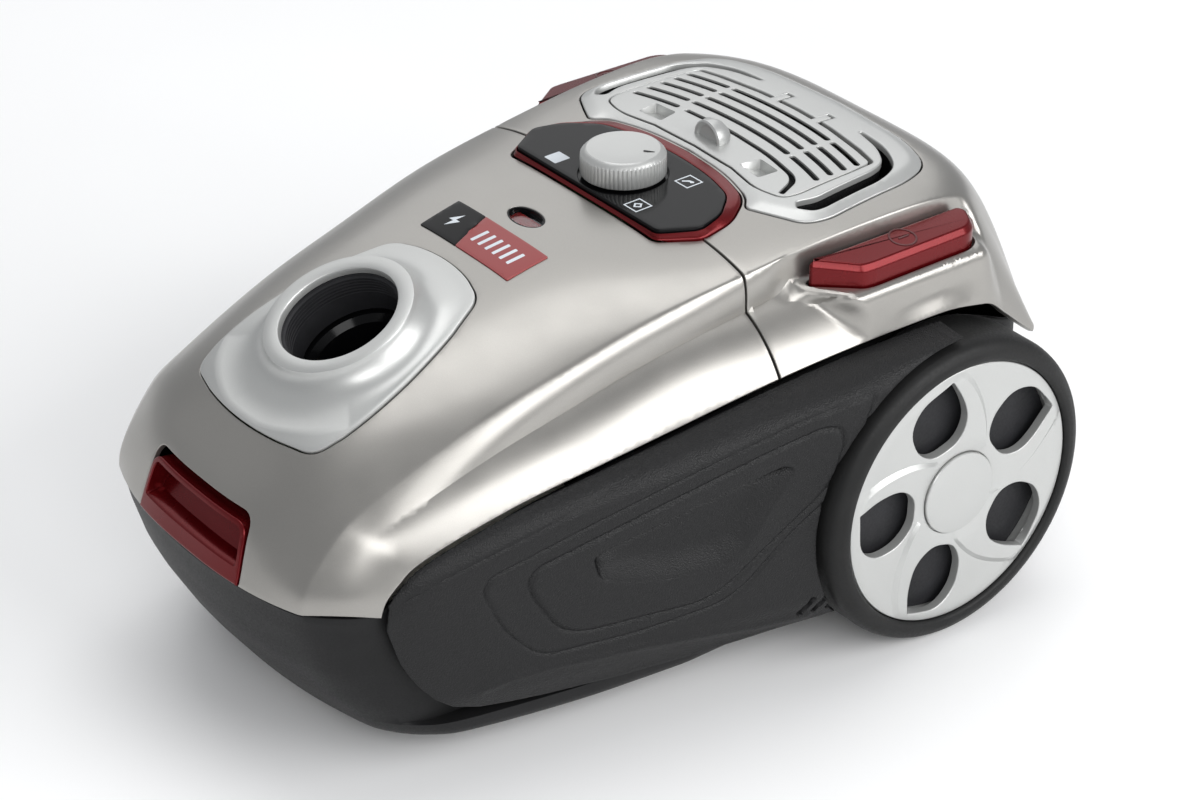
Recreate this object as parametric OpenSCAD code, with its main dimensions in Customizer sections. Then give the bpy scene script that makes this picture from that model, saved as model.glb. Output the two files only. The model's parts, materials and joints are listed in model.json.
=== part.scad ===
/* [Wheels] */
// Radius of the rear tyres
tyre_r = 75.5; // [70:0.5:76]
// Distance from the symmetry plane to the outer face of a rear wheel
track_half = 150; // [146:1:156]
// Width of a rear tyre
tyre_w = 36; // [30:1:36]
// Radius of the light alloy-look rim
rim_r = 65; // [58:0.5:66]
// Number of openings in a rim
rim_holes = 5; // [4:1:6]
// Radius of the front caster wheel
caster_r = 14; // [12:0.5:15]

/* [Hose inlet] */
// Radius of the hose opening
inlet_r = 27.5; // [25:0.5:28.5]
// Tilt of the hose opening towards the nose, in degrees
inlet_tilt = 23; // [18:1:26]

/* [Controls] */
// Radius of the power knob
knob_r = 20; // [16:0.5:20.5]
// Height of the power knob
knob_h = 15.5; // [12:0.5:16]
// Travel of the two foot pedals
pedal_travel = 4; // [3:0.5:5]

/* [Shell] */
// Wall of the lid and the rear cover
shell_t = 2.6; // [2.2:0.1:3]
// Wall of the base tub
tub_t = 3; // [2.5:0.1:3.5]
// Gap between the lid and the parts round it
seam_gap = 0.8; // [0.5:0.1:1]

/* [Hidden] */
$fn = 48;

taupe = "#8f8982";
silver = "#c9cbc9";
wine = "#8c2026";
black = "#26262a";
dark = "#3c3d40";
rubber = "#303033";
steel = "#a9adb2";

split_z = 93.6;
wheel_y = 109.7;
wheel_z = tyre_r;
arch_r = tyre_r + 3;
inlet_at = [0, -122.9, 180.6];
nozzle_r = inlet_r - 1.5;
seal_r = inlet_r + 2.6;
knob_at = [0, 31.6, 198.4];
seam_u = 7;
hinge_at = [0, 14, 195];
cover_axis = [139.5, 201.5];
swivel_at = [0, -124, 0];
motor_at = [38, 62, 86];
reel_at = [-58, 112, 90];

// Guide curves of the upper body, nose to rear: [x, y, z], one knot of each list per station
guide_centre = [[0, -206, 93.6], [0, -200.5, 110], [0, -193, 127], [0, -168, 151.5], [0, -124, 171],
    [0, -67, 187], [0, -21, 196], [0, 26, 198], [0, 69, 201], [0, 110, 202], [0, 142, 201],
    [0, 164, 197.5], [0, 181, 187], [0, 195, 162], [0, 205, 124]];
guide_crease = [[75, -194.6, 93.6], [75.2, -191, 106], [76.4, -177, 124.6], [78, -158, 137.5],
    [81.5, -112, 157.5], [85, -67, 171], [89, -21, 183.2], [92.5, 26, 190.4], [95.5, 69, 195.2],
    [97.5, 105, 197.3], [98, 128, 196.8], [97, 148, 193], [96, 160, 184], [100, 172, 161],
    [110, 183, 124]];
guide_edge = [[97.5, -168.3, 93.6], [97.8, -165, 101.5], [98.6, -158, 108.5], [100, -146, 115.5],
    [104.3, -107, 126.3], [108.9, -67, 133.5], [114, -21, 141.2], [119.8, 26, 149.6],
    [124.3, 69, 154.6], [127.3, 100, 156.8], [127.5, 120, 156], [126.5, 136, 152],
    [125, 148, 147], [123, 163, 135], [121, 177, 124]];

function clamp(a, low, high) = min(max(a, low), high);
function ease(a, low, high) = let(t = clamp((a - low) / (high - low), 0, 1)) t * t * (3 - 2 * t);
function mix(a, b, t) = a + (b - a) * t;
function flat(rows) = [for (row = rows) for (p = row) p];
function unit(a) = a / max(norm(a), 0.000001);
function curve_step(p, q, r, s, t) = 0.5 * (2 * q + (r - p) * t + (2 * p - 5 * q + 4 * r - s) * t * t
    + (3 * q - p - 3 * r + s) * t * t * t);
// Point of a smooth curve through the knots of a guide; u counts knots
function along(guide, u) = let(n = len(guide) - 1, i = clamp(floor(u), 0, n - 1), t = u - i)
    curve_step(guide[max(i - 1, 0)], guide[i], guide[i + 1], guide[min(i + 2, n)], t);

function bend(a, b, c, t) = (1 - t) * (1 - t) * a + 2 * t * (1 - t) * b + t * t * c;
// Between the crease and the lower edge: plain at the nose, then with a step below the crease that
// opens out behind the seam into the ledge of a pedal pod
function flank(u, t) = let(a = along(guide_crease, u), b = along(guide_edge, u),
    plain = mix(a, b, t) + [0.84, 0, 0.54] * 3 * sin(180 * t),
    y = plain[1],
    start = 56 + 22 * clamp((t - 0.1) / 0.5, 0, 1),
    step = ease(u, 3.6, 5.2) * (1 - ease(u, 10.5, 11.5)),
    pod = ease(y, start, start + 5) * (1 - ease(y, 143 - 4 * t, 155)))
    mix(mix(plain, step_flank(u, a, b, t), step), pod_flank(a, b, t), pod);
function step_flank(u, a, b, t) = let(c = [a[0] + mix(4.5, 0.8, ease(u, 6, 8)), mix(a[1], b[1], 0.36), a[2] - 17.2])
    t < 0.36 ? bend(a, [c[0] + 0.8, mix(a[1], c[1], 0.5), a[2] - 4.5], c, t / 0.36)
    : bend(c, [mix(c[0], b[0], 0.6), mix(c[1], b[1], 0.4), mix(c[2], b[2], 0.28)], b, (t - 0.36) / 0.64);
pod_steps = [0, 0.36, 0.56, 0.64, 0.84, 1];
function pod_flank(a, b, t) = let(
    path = [a, [a[0] + 0.8, a[1], 179.5], [119.5, mix(a[1], b[1], 0.5), 178.5],
        [121.8, mix(a[1], b[1], 0.6), 175.5], [123.2, mix(a[1], b[1], 0.8), 166], b])
    [for (axis = [0:2]) lookup(t, [for (i = [0:5]) [pod_steps[i], path[i][axis]]])];

// Outer surface of the upper body: v is 0 on the centre line, 1 on the crease, 2 on the lower edge
function skin(u, v) = let(side = v < 0 ? -1 : 1, a = abs(v),
    crown = 2.6 + 1.4 * clamp((u - 4) / 3, 0, 1),
    w = pow(min(a, 1), crown),
    top = along(guide_centre, u), crease = along(guide_crease, u),
    p = a <= 1 ? [a * crease[0], mix(top[1], crease[1], w), mix(top[2], crease[2], w)] : flank(u, a - 1))
    [side * p[0], p[1], p[2]];
function skin_normal(u, v) = unit(cross(skin(u, v + 0.02) - skin(u, v - 0.02),
    skin(min(u + 0.05, 14), v) - skin(max(u - 0.05, 0), v)));
function under(u, v, depth) = let(p = skin(u, v) - depth * skin_normal(u, v)) u == 0 ? [p[0], p[1], split_z] : p;
half_steps = [0.2, 0.4, 0.6, 0.76, 0.9, 1, 1.12, 1.24, 1.36, 1.46, 1.56, 1.64, 1.84, 1.98];
across = concat([for (i = [len(half_steps) - 1:-1:0]) -half_steps[i]], [0], half_steps);

// A closed plate between two grids of points
module plate(outer, inner) {
    n = len(outer);
    m = len(outer[0]);
    k = n * m;
    top = [for (i = [0:n - 2]) for (j = [0:m - 2]) let(a = i * m + j, b = a + 1, c = b + m, d = a + m)
        each [[a, d, c], [a, c, b], [a + k, c + k, d + k], [a + k, b + k, c + k]]];
    ends = [for (j = [0:m - 2]) let(a = j, b = j + 1, c = (n - 1) * m + j, d = c + 1)
        each [[a, b, b + k], [a, b + k, a + k], [d, c, c + k], [d, c + k, d + k]]];
    sides = [for (i = [0:n - 2]) let(a = i * m, d = a + m, b = a + m - 1, c = d + m - 1)
        each [[d, a, a + k], [d, a + k, d + k], [b, c, c + k], [b, c + k, b + k]]];
    polyhedron(concat(flat(outer), flat(inner)), concat(top, ends, sides), convexity = 8);
}

// A closed skin through closed rings of equal length, capped at both ends
module through_rings(rings) {
    n = len(rings);
    m = len(rings[0]);
    walls = [for (i = [0:n - 2]) for (j = [0:m - 1]) let(a = i * m + j, b = i * m + (j + 1) % m, c = b + m, d = a + m)
        each [[a, d, c], [a, c, b]]];
    polyhedron(flat(rings), concat(walls, [[for (j = [0:m - 1]) j]],
        [[for (j = [m - 1:-1:0]) (n - 1) * m + j]]), convexity = 8);
}

// A tube of a given radius along a path
module swept_tube(path, r, sides = 8) {
    n = len(path);
    rings = [for (i = [0:n - 1]) let(d = unit(path[min(i + 1, n - 1)] - path[max(i - 1, 0)]),
        a = unit(cross(d, abs(d[2]) > 0.9 ? [0, 1, 0] : [0, 0, 1])), b = cross(d, a))
        [for (j = [0:sides - 1]) path[i] + r * (cos(360 * j / sides) * a + sin(360 * j / sides) * b)]];
    through_rings(rings);
}

module along_x(at) {
    translate(at) rotate([0, 90, 0]) children();
}

module along_y(at) {
    translate(at) rotate([-90, 0, 0]) children();
}

module at_inlet() {
    translate(inlet_at) rotate([inlet_tilt, 0, 0]) children();
}

module ring(outer_r, inner_r, height) {
    difference() {
        cylinder(r = outer_r, h = height);
        translate([0, 0, -1]) cylinder(r = inner_r, h = height + 2);
    }
}

module slab(low, high) {
    translate(low) cube(high - low);
}

// ---- Base tub -------------------------------------------------------------------------------
// Half outline of the rim, front to rear: [x, y, rim height, forward slope, width at the sill]
tub_half = [[0, -205.8, 93.2, 1, 0], [22, -205, 93.2, 1, 22], [41.5, -202.6, 93.2, 1, 41.5],
    [58.5, -199, 93.2, 1, 58.5], [75, -194.4, 93.2, 0.98, 75], [87, -182.2, 93.2, 0.86, 87],
    [94, -170, 92.6, 0.8, 97], [95, -150, 101, 0.5, 104], [98, -107, 119, 0.15, 111.5],
    [102.5, -67, 126, 0, 119.5], [106, -21, 133, 0, 128], [107, 24, 138, 0, 135.5],
    [107, 31, 138, 0, 107], [108, 80, 143, 0, 107], [108, 150, 138, 0, 107], [106, 180, 121, 0, 105],
    [94, 192, 121, 0, 94], [55, 200, 121, 0, 55], [0, 203, 121, 0, 0]];
// Setback of the nose, and tuck of the sides, at each height
nose_back = [[13, 46], [16, 39], [21, 34], [24, 31.5], [40, 20], [60, 9], [80, 3], [93.2, 0], [150, 0]];
side_tuck = [[13, 14], [16, 8], [22, 1], [29, 0], [93, 0], [150, 0]];
function tub_point(k, level, wall) = let(p = tub_half[k], n = len(tub_half),
    before = tub_half[max(k - 1, 0)], after = tub_half[min(k + 1, n - 1)],
    out = k == 0 ? [0, -1] : k == n - 1 ? [0, 1] : unit([after[1] - before[1], before[0] - after[0]]),
    z = level > 90 ? p[2] : level,
    wide = z < 29.5 && wall == 0 ? p[4] : p[0],
    tuck = lookup(z, side_tuck))
    [max(wide - tuck * abs(out[0]) - wall * out[0], 0),
        p[1] + p[3] * lookup(z, nose_back) - (out[1] > 0 ? tuck * out[1] : 0) - wall * out[1], z];
function tub_ring(level, wall) = let(n = len(tub_half))
    concat([for (k = [0:n - 1]) tub_point(k, level, wall)],
        [for (k = [n - 2:-1:1]) let(p = tub_point(k, level, wall)) [-p[0], p[1], p[2]]]);

// Posts that carry the side panels: [inner x, y, outer x]
panel_posts = [[96, -112, 109.4], [102, -60, 119.4], [105, -10, 129]];

module base_tub() {
    outer = [for (level = [13, 16, 22, 29, 30, 45, 62, 80, 99]) tub_ring(level, 0)];
    inner = [for (level = [99, 80, 60, 40, 24, 17]) tub_ring(level, tub_t)];
    color(dark) difference() {
        union() {
            through_rings(concat(outer, inner));
            translate(swivel_at + [0, 0, 14]) cylinder(r = 36, h = 22);
            slab([-20, -189.8, 86.8], [20, -186, 90.4]);
            for (side = [-1, 1]) slab([side * 18 - 2, -202.2, 84], [side * 18 + 2, -186, 90.4]);
            for (side = [-1, 1]) along_x([side * 104 - 4.4, wheel_y, wheel_z]) cylinder(r = 16, h = 8.8);
            for (side = [0, 1]) mirror([side, 0, 0]) for (post = panel_posts)
                along_x([post[0], post[1], 82]) cylinder(r = 4, h = post[2] - post[0]);
        }
        translate(swivel_at) cylinder(r = 33, h = 33.5);
        translate(swivel_at + [0, 0, 30]) cylinder(r = 9, h = 10);
        along_x([-130, wheel_y, wheel_z]) cylinder(r = 6.05, h = 260);
        along_y([-58, 180, 60]) cylinder(r = 9, h = 40);
    }
}

// ---- Side panels ----------------------------------------------------------------------------
panel_front = [[-168.3, 92.8], [-166, 82], [-162, 69], [-155, 56], [-149, 48.5], [-140, 41]];
panel_bottom = [[-140, 41], [-127, 36], [-97, 32], [-63, 30.2], [-25, 30], [5, 31], [45, 33]];
arch_start = asin((33 - wheel_z) / arch_r);
arch_sweep = 180 - arch_start - 62;
function panel_top(s) = let(p = along(guide_edge, s * 11.6)) [p[1], p[2] - 1.1];
function path_at(path, s) = let(n = len(path) - 1, i = min(floor(s * n), n - 1)) mix(path[i], path[i + 1], s * n - i);
function panel_arch(t) = let(a = 180 - arch_start - arch_sweep * t)
    [wheel_y + arch_r * cos(a), wheel_z + arch_r * sin(a)];
function panel_rear(t) = t < 0.95 ? panel_arch(t / 0.95) : mix(panel_arch(1), panel_top(1), (t - 0.95) / 0.05);
// A patch bounded by the front seam, the sill, the top edge and the wheel arch, in [y, z]
function panel_yz(s, t) = mix(path_at(panel_bottom, s), panel_top(s), t)
    + mix(path_at(panel_front, 1 - t), panel_rear(t), s)
    - mix(mix(panel_bottom[0], panel_bottom[6], s), mix(panel_top(0), panel_top(1), s), t);
function edge_x(y) = lookup(y, [for (p = guide_edge) [p[1], p[0]]]);
function edge_z(y) = lookup(y, [for (p = guide_edge) [p[1], p[2]]]);
// Half width over the flat of a side panel, along its length
flat_x = [[-170, 98], [-160, 101.6], [-150, 104.8], [-129, 109.6], [-60, 123], [20, 138.3], [35, 142], [50, 145], [160, 145]];
function arch_z(y) = abs(y - wheel_y) < arch_r ? wheel_z + sqrt(pow(arch_r, 2) - pow(y - wheel_y, 2)) : 0;
function panel_x(y, z) = let(top = edge_z(y) - 1.1, x = edge_x(y) - 0.2,
    shoulder = clamp(0.9 * (top - arch_z(y)), 0.8, 11),
    d = clamp((top - z) / shoulder, 0, 1),
    low = 5 * ease(48 - z, 0, 20),
    flat = lookup(y, flat_x) - low)
    x + (flat - x) * sqrt(1 - pow(1 - d, 2));
panel_rows = [0, 0.06, 0.15, 0.3, 0.5, 0.7, 0.82, 0.88, 0.92, 0.95, 0.97, 0.985, 0.995, 1];
module side_panel() {
    outer = [for (i = [0:24]) [for (t = panel_rows) let(p = panel_yz(i / 24, t)) [panel_x(p[0], p[1]), p[0], p[1]]]];
    inner = [for (i = [0:24]) [for (j = [0:len(panel_rows) - 1]) let(w = ease(panel_rows[j], 0.7, 0.97))
        outer[i][j] - mix([2.5, 0, 0], [0.9, 0, 2.1], w)]];
    color(black) plate(inner, outer);
}

module side_panel_right() {
    side_panel();
}

module side_panel_left() {
    mirror([1, 0, 0]) side_panel();
}

// ---- Rear cover and what sits on it ----------------------------------------------------------
frame_points = [[53.2, 8], [64.5, 26], [62, 44], [51, 60], [28, 66.5], [0, 68.5]];
module control_outline(grow = 0) {
    offset(delta = grow) polygon(concat(frame_points, [for (i = [4:-1:0]) [-frame_points[i][0], frame_points[i][1]]]));
}

pedal_outline = [[99.2, 59], [100.4, 57.8], [115, 76], [115.6, 80], [115.4, 136], [112, 142], [104, 146], [99.2, 143]];
module pedal_prism(grow, low, high) {
    translate([0, 0, low]) linear_extrude(high - low) offset(delta = grow) polygon(pedal_outline);
}

exhaust_half = [[0, 70.5], [28, 68.5], [55, 60.5], [82.5, 75], [84, 84], [79.5, 132], [72, 150], [50, 158], [0, 162]];
module exhaust_outline(grow = 0) {
    n = len(exhaust_half);
    offset(delta = grow) polygon(concat(exhaust_half, [for (i = [n - 2:-1:1]) [-exhaust_half[i][0], exhaust_half[i][1]]]));
}

module rear_cover() {
    steps = [for (i = [0:28]) mix(seam_u + 0.012, 14, i / 28)];
    color(taupe) difference() {
        plate([for (u = steps) [for (v = across) skin(u, v)]],
            [for (u = steps) [for (v = across) under(u, v, shell_t)]]);
        translate([0, 0, 180]) linear_extrude(40) exhaust_outline(-4);
        translate([0, 0, 180]) linear_extrude(40) control_outline(-2.5);
        translate([0, 0, 180]) linear_extrude(40) intersection() {
            control_outline(0.8);
            translate([-80, 0]) square([160, 27]);
        }
        for (side = [0, 1]) mirror([side, 0, 0]) pedal_prism(0.6, 165, 200);
    }
}

slot_outline = [[60, 80], [70.5, 80], [70.5, 100], [64, 141], [58, 146.5], [26, 151], [26, 147.5], [52, 143], [55.5, 138]];
module exhaust_frame() {
    color(silver) difference() {
        translate([0, 0, 198.5]) linear_extrude(5.5) exhaust_outline(0);
        translate([0, 0, 190]) linear_extrude(20) cover_outline(0.5);
        for (side = [0, 1]) mirror([side, 0, 0]) translate([0, 0, 190]) linear_extrude(20) polygon(slot_outline);
    }
    color(silver) for (side = [-1, 1]) difference() {
        slab([side * 14.6 - 2, 137.6, 199.6], [side * 14.6 + 2, 143.5, 203]);
        along_x([side * 14.6 - 3, cover_axis[0], cover_axis[1]]) cylinder(r = 1.26, h = 6);
    }
}

module filter_tray() {
    color(dark) difference() {
        slab([-77, 76, 172], [77, 152, 176]);
        slab([-46, 86, 171], [46, 130, 180]);
    }
}

cover_half = [[0, 79], [54, 79], [57.5, 84], [53.5, 128], [48, 136], [12, 141.6], [0, 141.8]];
module cover_outline(grow = 0) {
    n = len(cover_half);
    offset(delta = grow) polygon(concat(cover_half, [for (i = [n - 2:-1:1]) [-cover_half[i][0], cover_half[i][1]]]));
}
slit_y = [91.5, 98.5, 105.5, 112.5, 119.5, 126.5];
module exhaust_cover() {
    color(silver) {
        difference() {
            // Cut short at the rear, where the edge swings back as the cover lifts
            translate([0, 0, 199.5]) linear_extrude(3.5) intersection() {
                cover_outline();
                translate([0, -2.4]) cover_outline();
            }
            for (y = slit_y) for (side = [-1, 1]) for (k = [0:3])
                translate([side * (6 + 12 * k), y + 1.2 - 0.35 * k * k, 195]) cube([10, 2.6, 18], center = true);
            for (side = [-1, 1]) translate([side * 36, 84, 202.2]) cube([12, 10, 2], center = true);
            for (side = [-1, 1]) slab([side * 14.6 - 2.5, 136.6, 195], [side * 14.6 + 2.5, 144, 204]);
            slab([-13, 78, 198], [13, 88.6, 204]);
        }
        along_x([-16.4, cover_axis[0], cover_axis[1]]) cylinder(r = 1.2, h = 32.8);
    }
}

module exhaust_latch_tab() {
    color(silver) {
        slab([-12.6, 79.4, 199.8], [12.6, 86.2, 202.6]);
        along_y([0, 82, 202]) intersection() {
            cylinder(r = 9, h = 2.6);
            translate([-10, -10, 0]) cube([20, 10, 3]);
        }
    }
}

module exhaust_filter() {
    color("#e9ead9") difference() {
        slab([-48, 84, 178], [48, 132, 192]);
        for (i = [0:10]) slab([-45 + 8.4 * i, 87, 182], [-41 + 8.4 * i, 129, 193]);
    }
}

module control_frame() {
    color(wine) difference() {
        union() {
            hull() {
                translate([0, 0, 198.2]) linear_extrude(0.3) control_outline(0);
                translate([0, 0, 201]) linear_extrude(0.4) control_outline(-3.5);
            }
            for (x = [-49, -28.4, 20, 39.6]) slab([x, 10.8, 193], [x + 8.6, 18, 199]);
        }
        translate([0, 0, 200]) linear_extrude(4) control_outline(-4.5);
        translate([0, 24, 190]) linear_extrude(20) square([60, 30], center = true);
        along_x([-60, hinge_at[1], hinge_at[2]]) cylinder(r = 1.5, h = 120);
    }
}

module control_panel() {
    color(black) difference() {
        translate([0, 0, 200.1]) linear_extrude(1.2) control_outline(-4.8);
        translate([knob_at[0], knob_at[1], 190]) cylinder(r = 5, h = 20);
    }
}

module knob() {
    color(silver) translate([knob_at[0], knob_at[1], 0]) difference() {
        union() {
            translate([0, 0, 201.6]) cylinder(r = knob_r - 0.7, h = knob_h - 4.2);
            translate([0, 0, 201.6 + knob_h - 4.2]) cylinder(r1 = knob_r - 0.7, r2 = knob_r - 2, h = 1.2);
            for (i = [0:29]) rotate([0, 0, 12 * i]) translate([knob_r - 0.9, 0, 202.2]) cylinder(r = 0.9, h = knob_h - 5.4, $fn = 16);
        }
        translate([0, 0, 200]) cylinder(r = 3.05, h = 8);
    }
}

module potentiometer() {
    color(steel) translate([knob_at[0], knob_at[1], 0]) {
        translate([0, 0, 184]) cylinder(r = 8, h = 8);
        translate([0, 0, 192]) cylinder(r = 4.5, h = 6);
        translate([0, 0, 198]) cylinder(r = 3, h = 9.2);
    }
}

module circuit_board() {
    color("#2f6b45") {
        slab([-40, 22, 182.2], [40, 58, 183.8]);
        slab([18, 28, 183.8], [34, 40, 191]);
        slab([-34, 30, 183.8], [-20, 50, 190]);
    }
}

// ---- Lid --------------------------------------------------------------------------------------
latch_half_w = 40.5;
latch_pivot = [0, -186.5, 121];
module latch_opening(grow, bottom, top) {
    translate([0, -175, 0]) rotate([90, 0, 0]) linear_extrude(65)
        polygon([[-latch_half_w - grow, bottom], [latch_half_w + grow, bottom], [latch_half_w + grow, 97],
            [38 + grow, top], [-38 - grow, top], [-latch_half_w - grow, 97]]);
}

module lid_shell() {
    steps = [for (i = [0:21]) mix(0, seam_u - 0.012, i / 21)];
    color(taupe) difference() {
        union() {
            plate([for (u = steps) [for (v = across) skin(u, v)]],
                [for (u = steps) [for (v = across) under(u, v, shell_t)]]);
            for (side = [-1, 1]) slab([side * 42.5 - 1.8, -191.6, 117.4], [side * 42.5 + 1.8, -182.8, 125]);
        }
        along_x([-45, latch_pivot[1], latch_pivot[2]]) cylinder(r = 1.5, h = 90);
        at_inlet() translate([0, 0, -60]) cylinder(r = inlet_r + 5.3, h = 80);
        latch_opening(0, 90, 124);
        translate([0, 0, 160]) linear_extrude(60) intersection() {
            control_outline(seam_gap + 0.5);
            translate([-80, -5]) square([160, 40]);
        }
        translate([0, -23, 180]) scale([1, 0.72, 1]) cylinder(r = 9.4, h = 30);
    }
}

module lid_hinge_arms() {
    color(dark) for (side = [-1, 1]) difference() {
        union() {
            along_x([side * 34 - 5, hinge_at[1], hinge_at[2]]) cylinder(r = 2.6, h = 10);
            slab([side * 34 - 5, 2, 189.2], [side * 34 + 5, 14, 192.2]);
            slab([side * 34 - 5, 12.6, 189.2], [side * 34 + 5, 15.4, 195]);
            slab([side * 34 - 5, 2, 189.2], [side * 34 + 5, 5, 194.7]);
        }
        along_x([side * 34 - 6, hinge_at[1], hinge_at[2]]) cylinder(r = 1.55, h = 12);
    }
}

module hinge_pin() {
    color(steel) along_x([-52, hinge_at[1], hinge_at[2]]) cylinder(r = 1.5, h = 104);
}

module lid_gasket() {
    half = [for (u = [0.35, 1, 2, 3, 4, 5, 6, 6.9]) under(u, 1.86, shell_t + 2.7)];
    front = [for (v = [1.7, 1.3, 1, 0.8, 0.62]) let(p = under(0.3, v, shell_t + 2.8)) [p[0], p[1], 98]];
    right = concat([for (i = [7:-1:0]) half[i]], front);
    color(rubber) {
        swept_tube(right, 1.8, 6);
        mirror([1, 0, 0]) swept_tube(right, 1.8, 6);
    }
}

// Corners of the light insert round the hose inlet, as [u, v] on the lid
insert_cols = [-1, -0.7, -0.35, 0, 0.35, 0.7, 1];
function insert_half_width(s) = mix(46, 33, pow(s, 1.3)) + 9 * sin(180 * s);
function insert_v(s, c) = let(u = mix(2.8, 5.02, s)) c * insert_half_width(s) / along(guide_crease, u)[0];
function insert_u(s, c) = mix(2.8, 5.02, s) + (s < 0.5 ? 0.16 : -0.12) * c * c * pow(abs(2 * s - 1), 3);
module inlet_trim() {
    rows = [for (i = [0:8]) i / 8];
    color(silver) difference() {
        union() {
            plate([for (s = rows) [for (c = insert_cols) under(insert_u(s, c), insert_v(s, c), -1)]],
                [for (s = rows) [for (c = insert_cols) under(insert_u(s, c), insert_v(s, c), 0.4)]]);
            at_inlet() rotate_extrude() polygon([[inlet_r, -4], [inlet_r, 0], [34.2, 0], [35.4, -1.4], [36.5, -5],
                [40, -12], [45, -16], [41, -17.5], [34, -14], [32.6, -20], [32.6, -26], [seal_r, -26], [seal_r, -4]]);
        }
        at_inlet() translate([0, 0, -40]) cylinder(r = seal_r, h = 36);
        at_inlet() translate([0, 0, -6]) cylinder(r = inlet_r, h = 26);
    }
}

module inlet_seal() {
    ribs = [for (i = [0:3]) each [[nozzle_r + 1.4, -12 + 2 * i], [nozzle_r + 0.5, -11 + 2 * i]]];
    color(rubber) at_inlet() rotate_extrude() polygon(concat([[seal_r - 0.05, -24], [nozzle_r, -24],
        [nozzle_r, -12]], ribs, [[nozzle_r + 1.4, -4.1], [seal_r - 0.05, -4.1]]));
}

module inlet_tube() {
    color(black) at_inlet() rotate_extrude() polygon([[22.5, -52.5], [24.5, -52.5], [24.5, -30], [30.2, -27.5],
        [32.4, -27.5], [32.4, -26.1], [25, -26.1], [22.5, -29]]);
}

module indicator_window() {
    color([0.75, 0.8, 0.82]) translate([0, -23, 194.6]) rotate([9, 0, 0]) scale([1, 0.72, 1])
        cylinder(r = 8.8, h = 2.2);
}

module indicator_flap() {
    color(wine) translate([0, -23, 191]) rotate([9, 0, 0]) slab([-10, -4, 0], [10, 4, 1.2]);
}

module badge_plate() {
    rows = [for (i = [0:3]) mix(5.2, 5.68, i / 3)];
    color(black) plate([for (u = rows) [for (c = insert_cols) under(u, c * 33 / 87, -0.6)]],
        [for (u = rows) [for (c = insert_cols) under(u, c * 33 / 87, -0.05)]]);
}

module lid_latch() {
    color(wine) difference() {
        union() {
            intersection() {
                plate([for (u = [0.02, 0.5, 1, 1.5, 2.2]) [for (v = insert_cols) under(u, v * 0.56, -0.8)]],
                    [for (u = [0.02, 0.5, 1, 1.5, 2.2]) [for (v = insert_cols) under(u, v * 0.56, 15)]]);
                latch_opening(-0.6, 94, 119.8);
            }
            along_x([-30, latch_pivot[1], latch_pivot[2]]) cylinder(r = 3.2, h = 60);
            slab([-14, -195, 84], [14, -191.6, 98]);
            slab([-14, -193, 84], [14, -190.2, 87]);
        }
        translate([0, -198, 108]) rotate([-18, 0, 0]) cube([66, 12, 15], center = true);
        along_x([-39, latch_pivot[1], latch_pivot[2]]) cylinder(r = 1.54, h = 78);
        along_x([30.6, latch_pivot[1], latch_pivot[2]]) cylinder(r = 3.6, h = 8);
    }
}

module latch_pin() {
    color(steel) along_x([-44, latch_pivot[1], latch_pivot[2]]) cylinder(r = 1.5, h = 88);
}

module latch_spring() {
    color(steel) along_x([31.2, latch_pivot[1], latch_pivot[2]]) ring(3, 1.6, 4);
}

// ---- Pedals -----------------------------------------------------------------------------------
module pedal() {
    difference() {
        union() {
            pedal_prism(-0.2, 177, 186);
            hull() {
                pedal_prism(-0.2, 186, 187);
                pedal_prism(-2.6, 190, 191);
            }
            slab([103.5, 86, 168], [109.5, 128, 178]);
        }
        translate([106.5, 107, 190.4]) ring(8, 6.6, 2);
    }
}

module power_pedal() {
    color(wine) pedal();
}

module rewind_pedal() {
    color(wine) mirror([1, 0, 0]) pedal();
}

module pedal_spring(side) {
    color(steel) translate([side * 106.5, 107, 157]) ring(3.4, 2.4, 10.6);
}

module power_spring() {
    pedal_spring(1);
}

module rewind_spring() {
    pedal_spring(-1);
}

module power_switch() {
    color(black) {
        slab([88, 96, 148], [101, 118, 162]);
        slab([101, 104, 152], [110, 110, 156.6]);
    }
}

module reel_brake_arm() {
    color(steel) {
        slab([-110, 104, 153], [-96, 110, 156.6]);
        slab([-100, 104, 154.6], [-60, 110, 158]);
    }
}

// ---- Air path and motor -----------------------------------------------------------------------
module partition_grille() {
    color(dark) difference() {
        union() {
            slab([-100, -3, 24], [100, 0, 134]);
            slab([-95, -3, 17.6], [95, 0, 24]);
            slab([-62, -1, 38], [62, 10, 122]);
        }
        slab([-58, 0, 42], [58, 12, 118]);
        for (i = [0:8]) slab([-56 + 12.6 * i, -5, 44], [-47 + 12.6 * i, 2, 116]);
    }
}

module motor_filter() {
    color("#3a6ea5") slab([-57.4, 0.4, 42.6], [57.4, 9.6, 117.4]);
}

module motor_can() {
    color(steel) along_y(motor_at) difference() {
        union() {
            translate([0, 0, -34]) cylinder(r = 55, h = 34);
            cylinder(r = 40, h = 58);
            translate([0, 0, 58]) cylinder(r = 10, h = 8);
        }
        translate([0, 0, -32]) cylinder(r = 53, h = 30);
        translate([0, 0, -36]) cylinder(r = 26, h = 6);
        cylinder(r = 36, h = 54);
        translate([0, 0, -10]) cylinder(r = 5, h = 30);
        translate([0, 0, 50]) cylinder(r = 4.05, h = 20);
    }
}

module motor_fan() {
    color("#d9d9d4") along_y(motor_at) {
        translate([0, 0, -28]) cylinder(r = 4, h = 92);
        translate([0, 0, -10]) cylinder(r = 49, h = 2);
        for (i = [0:8]) rotate([0, 0, 40 * i]) translate([14, -1, -22]) cube([34, 2, 13]);
        translate([0, 0, -24]) cylinder(r = 8, h = 15);
        translate([0, 0, 8]) cylinder(r = 26, h = 38);
    }
}

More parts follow.
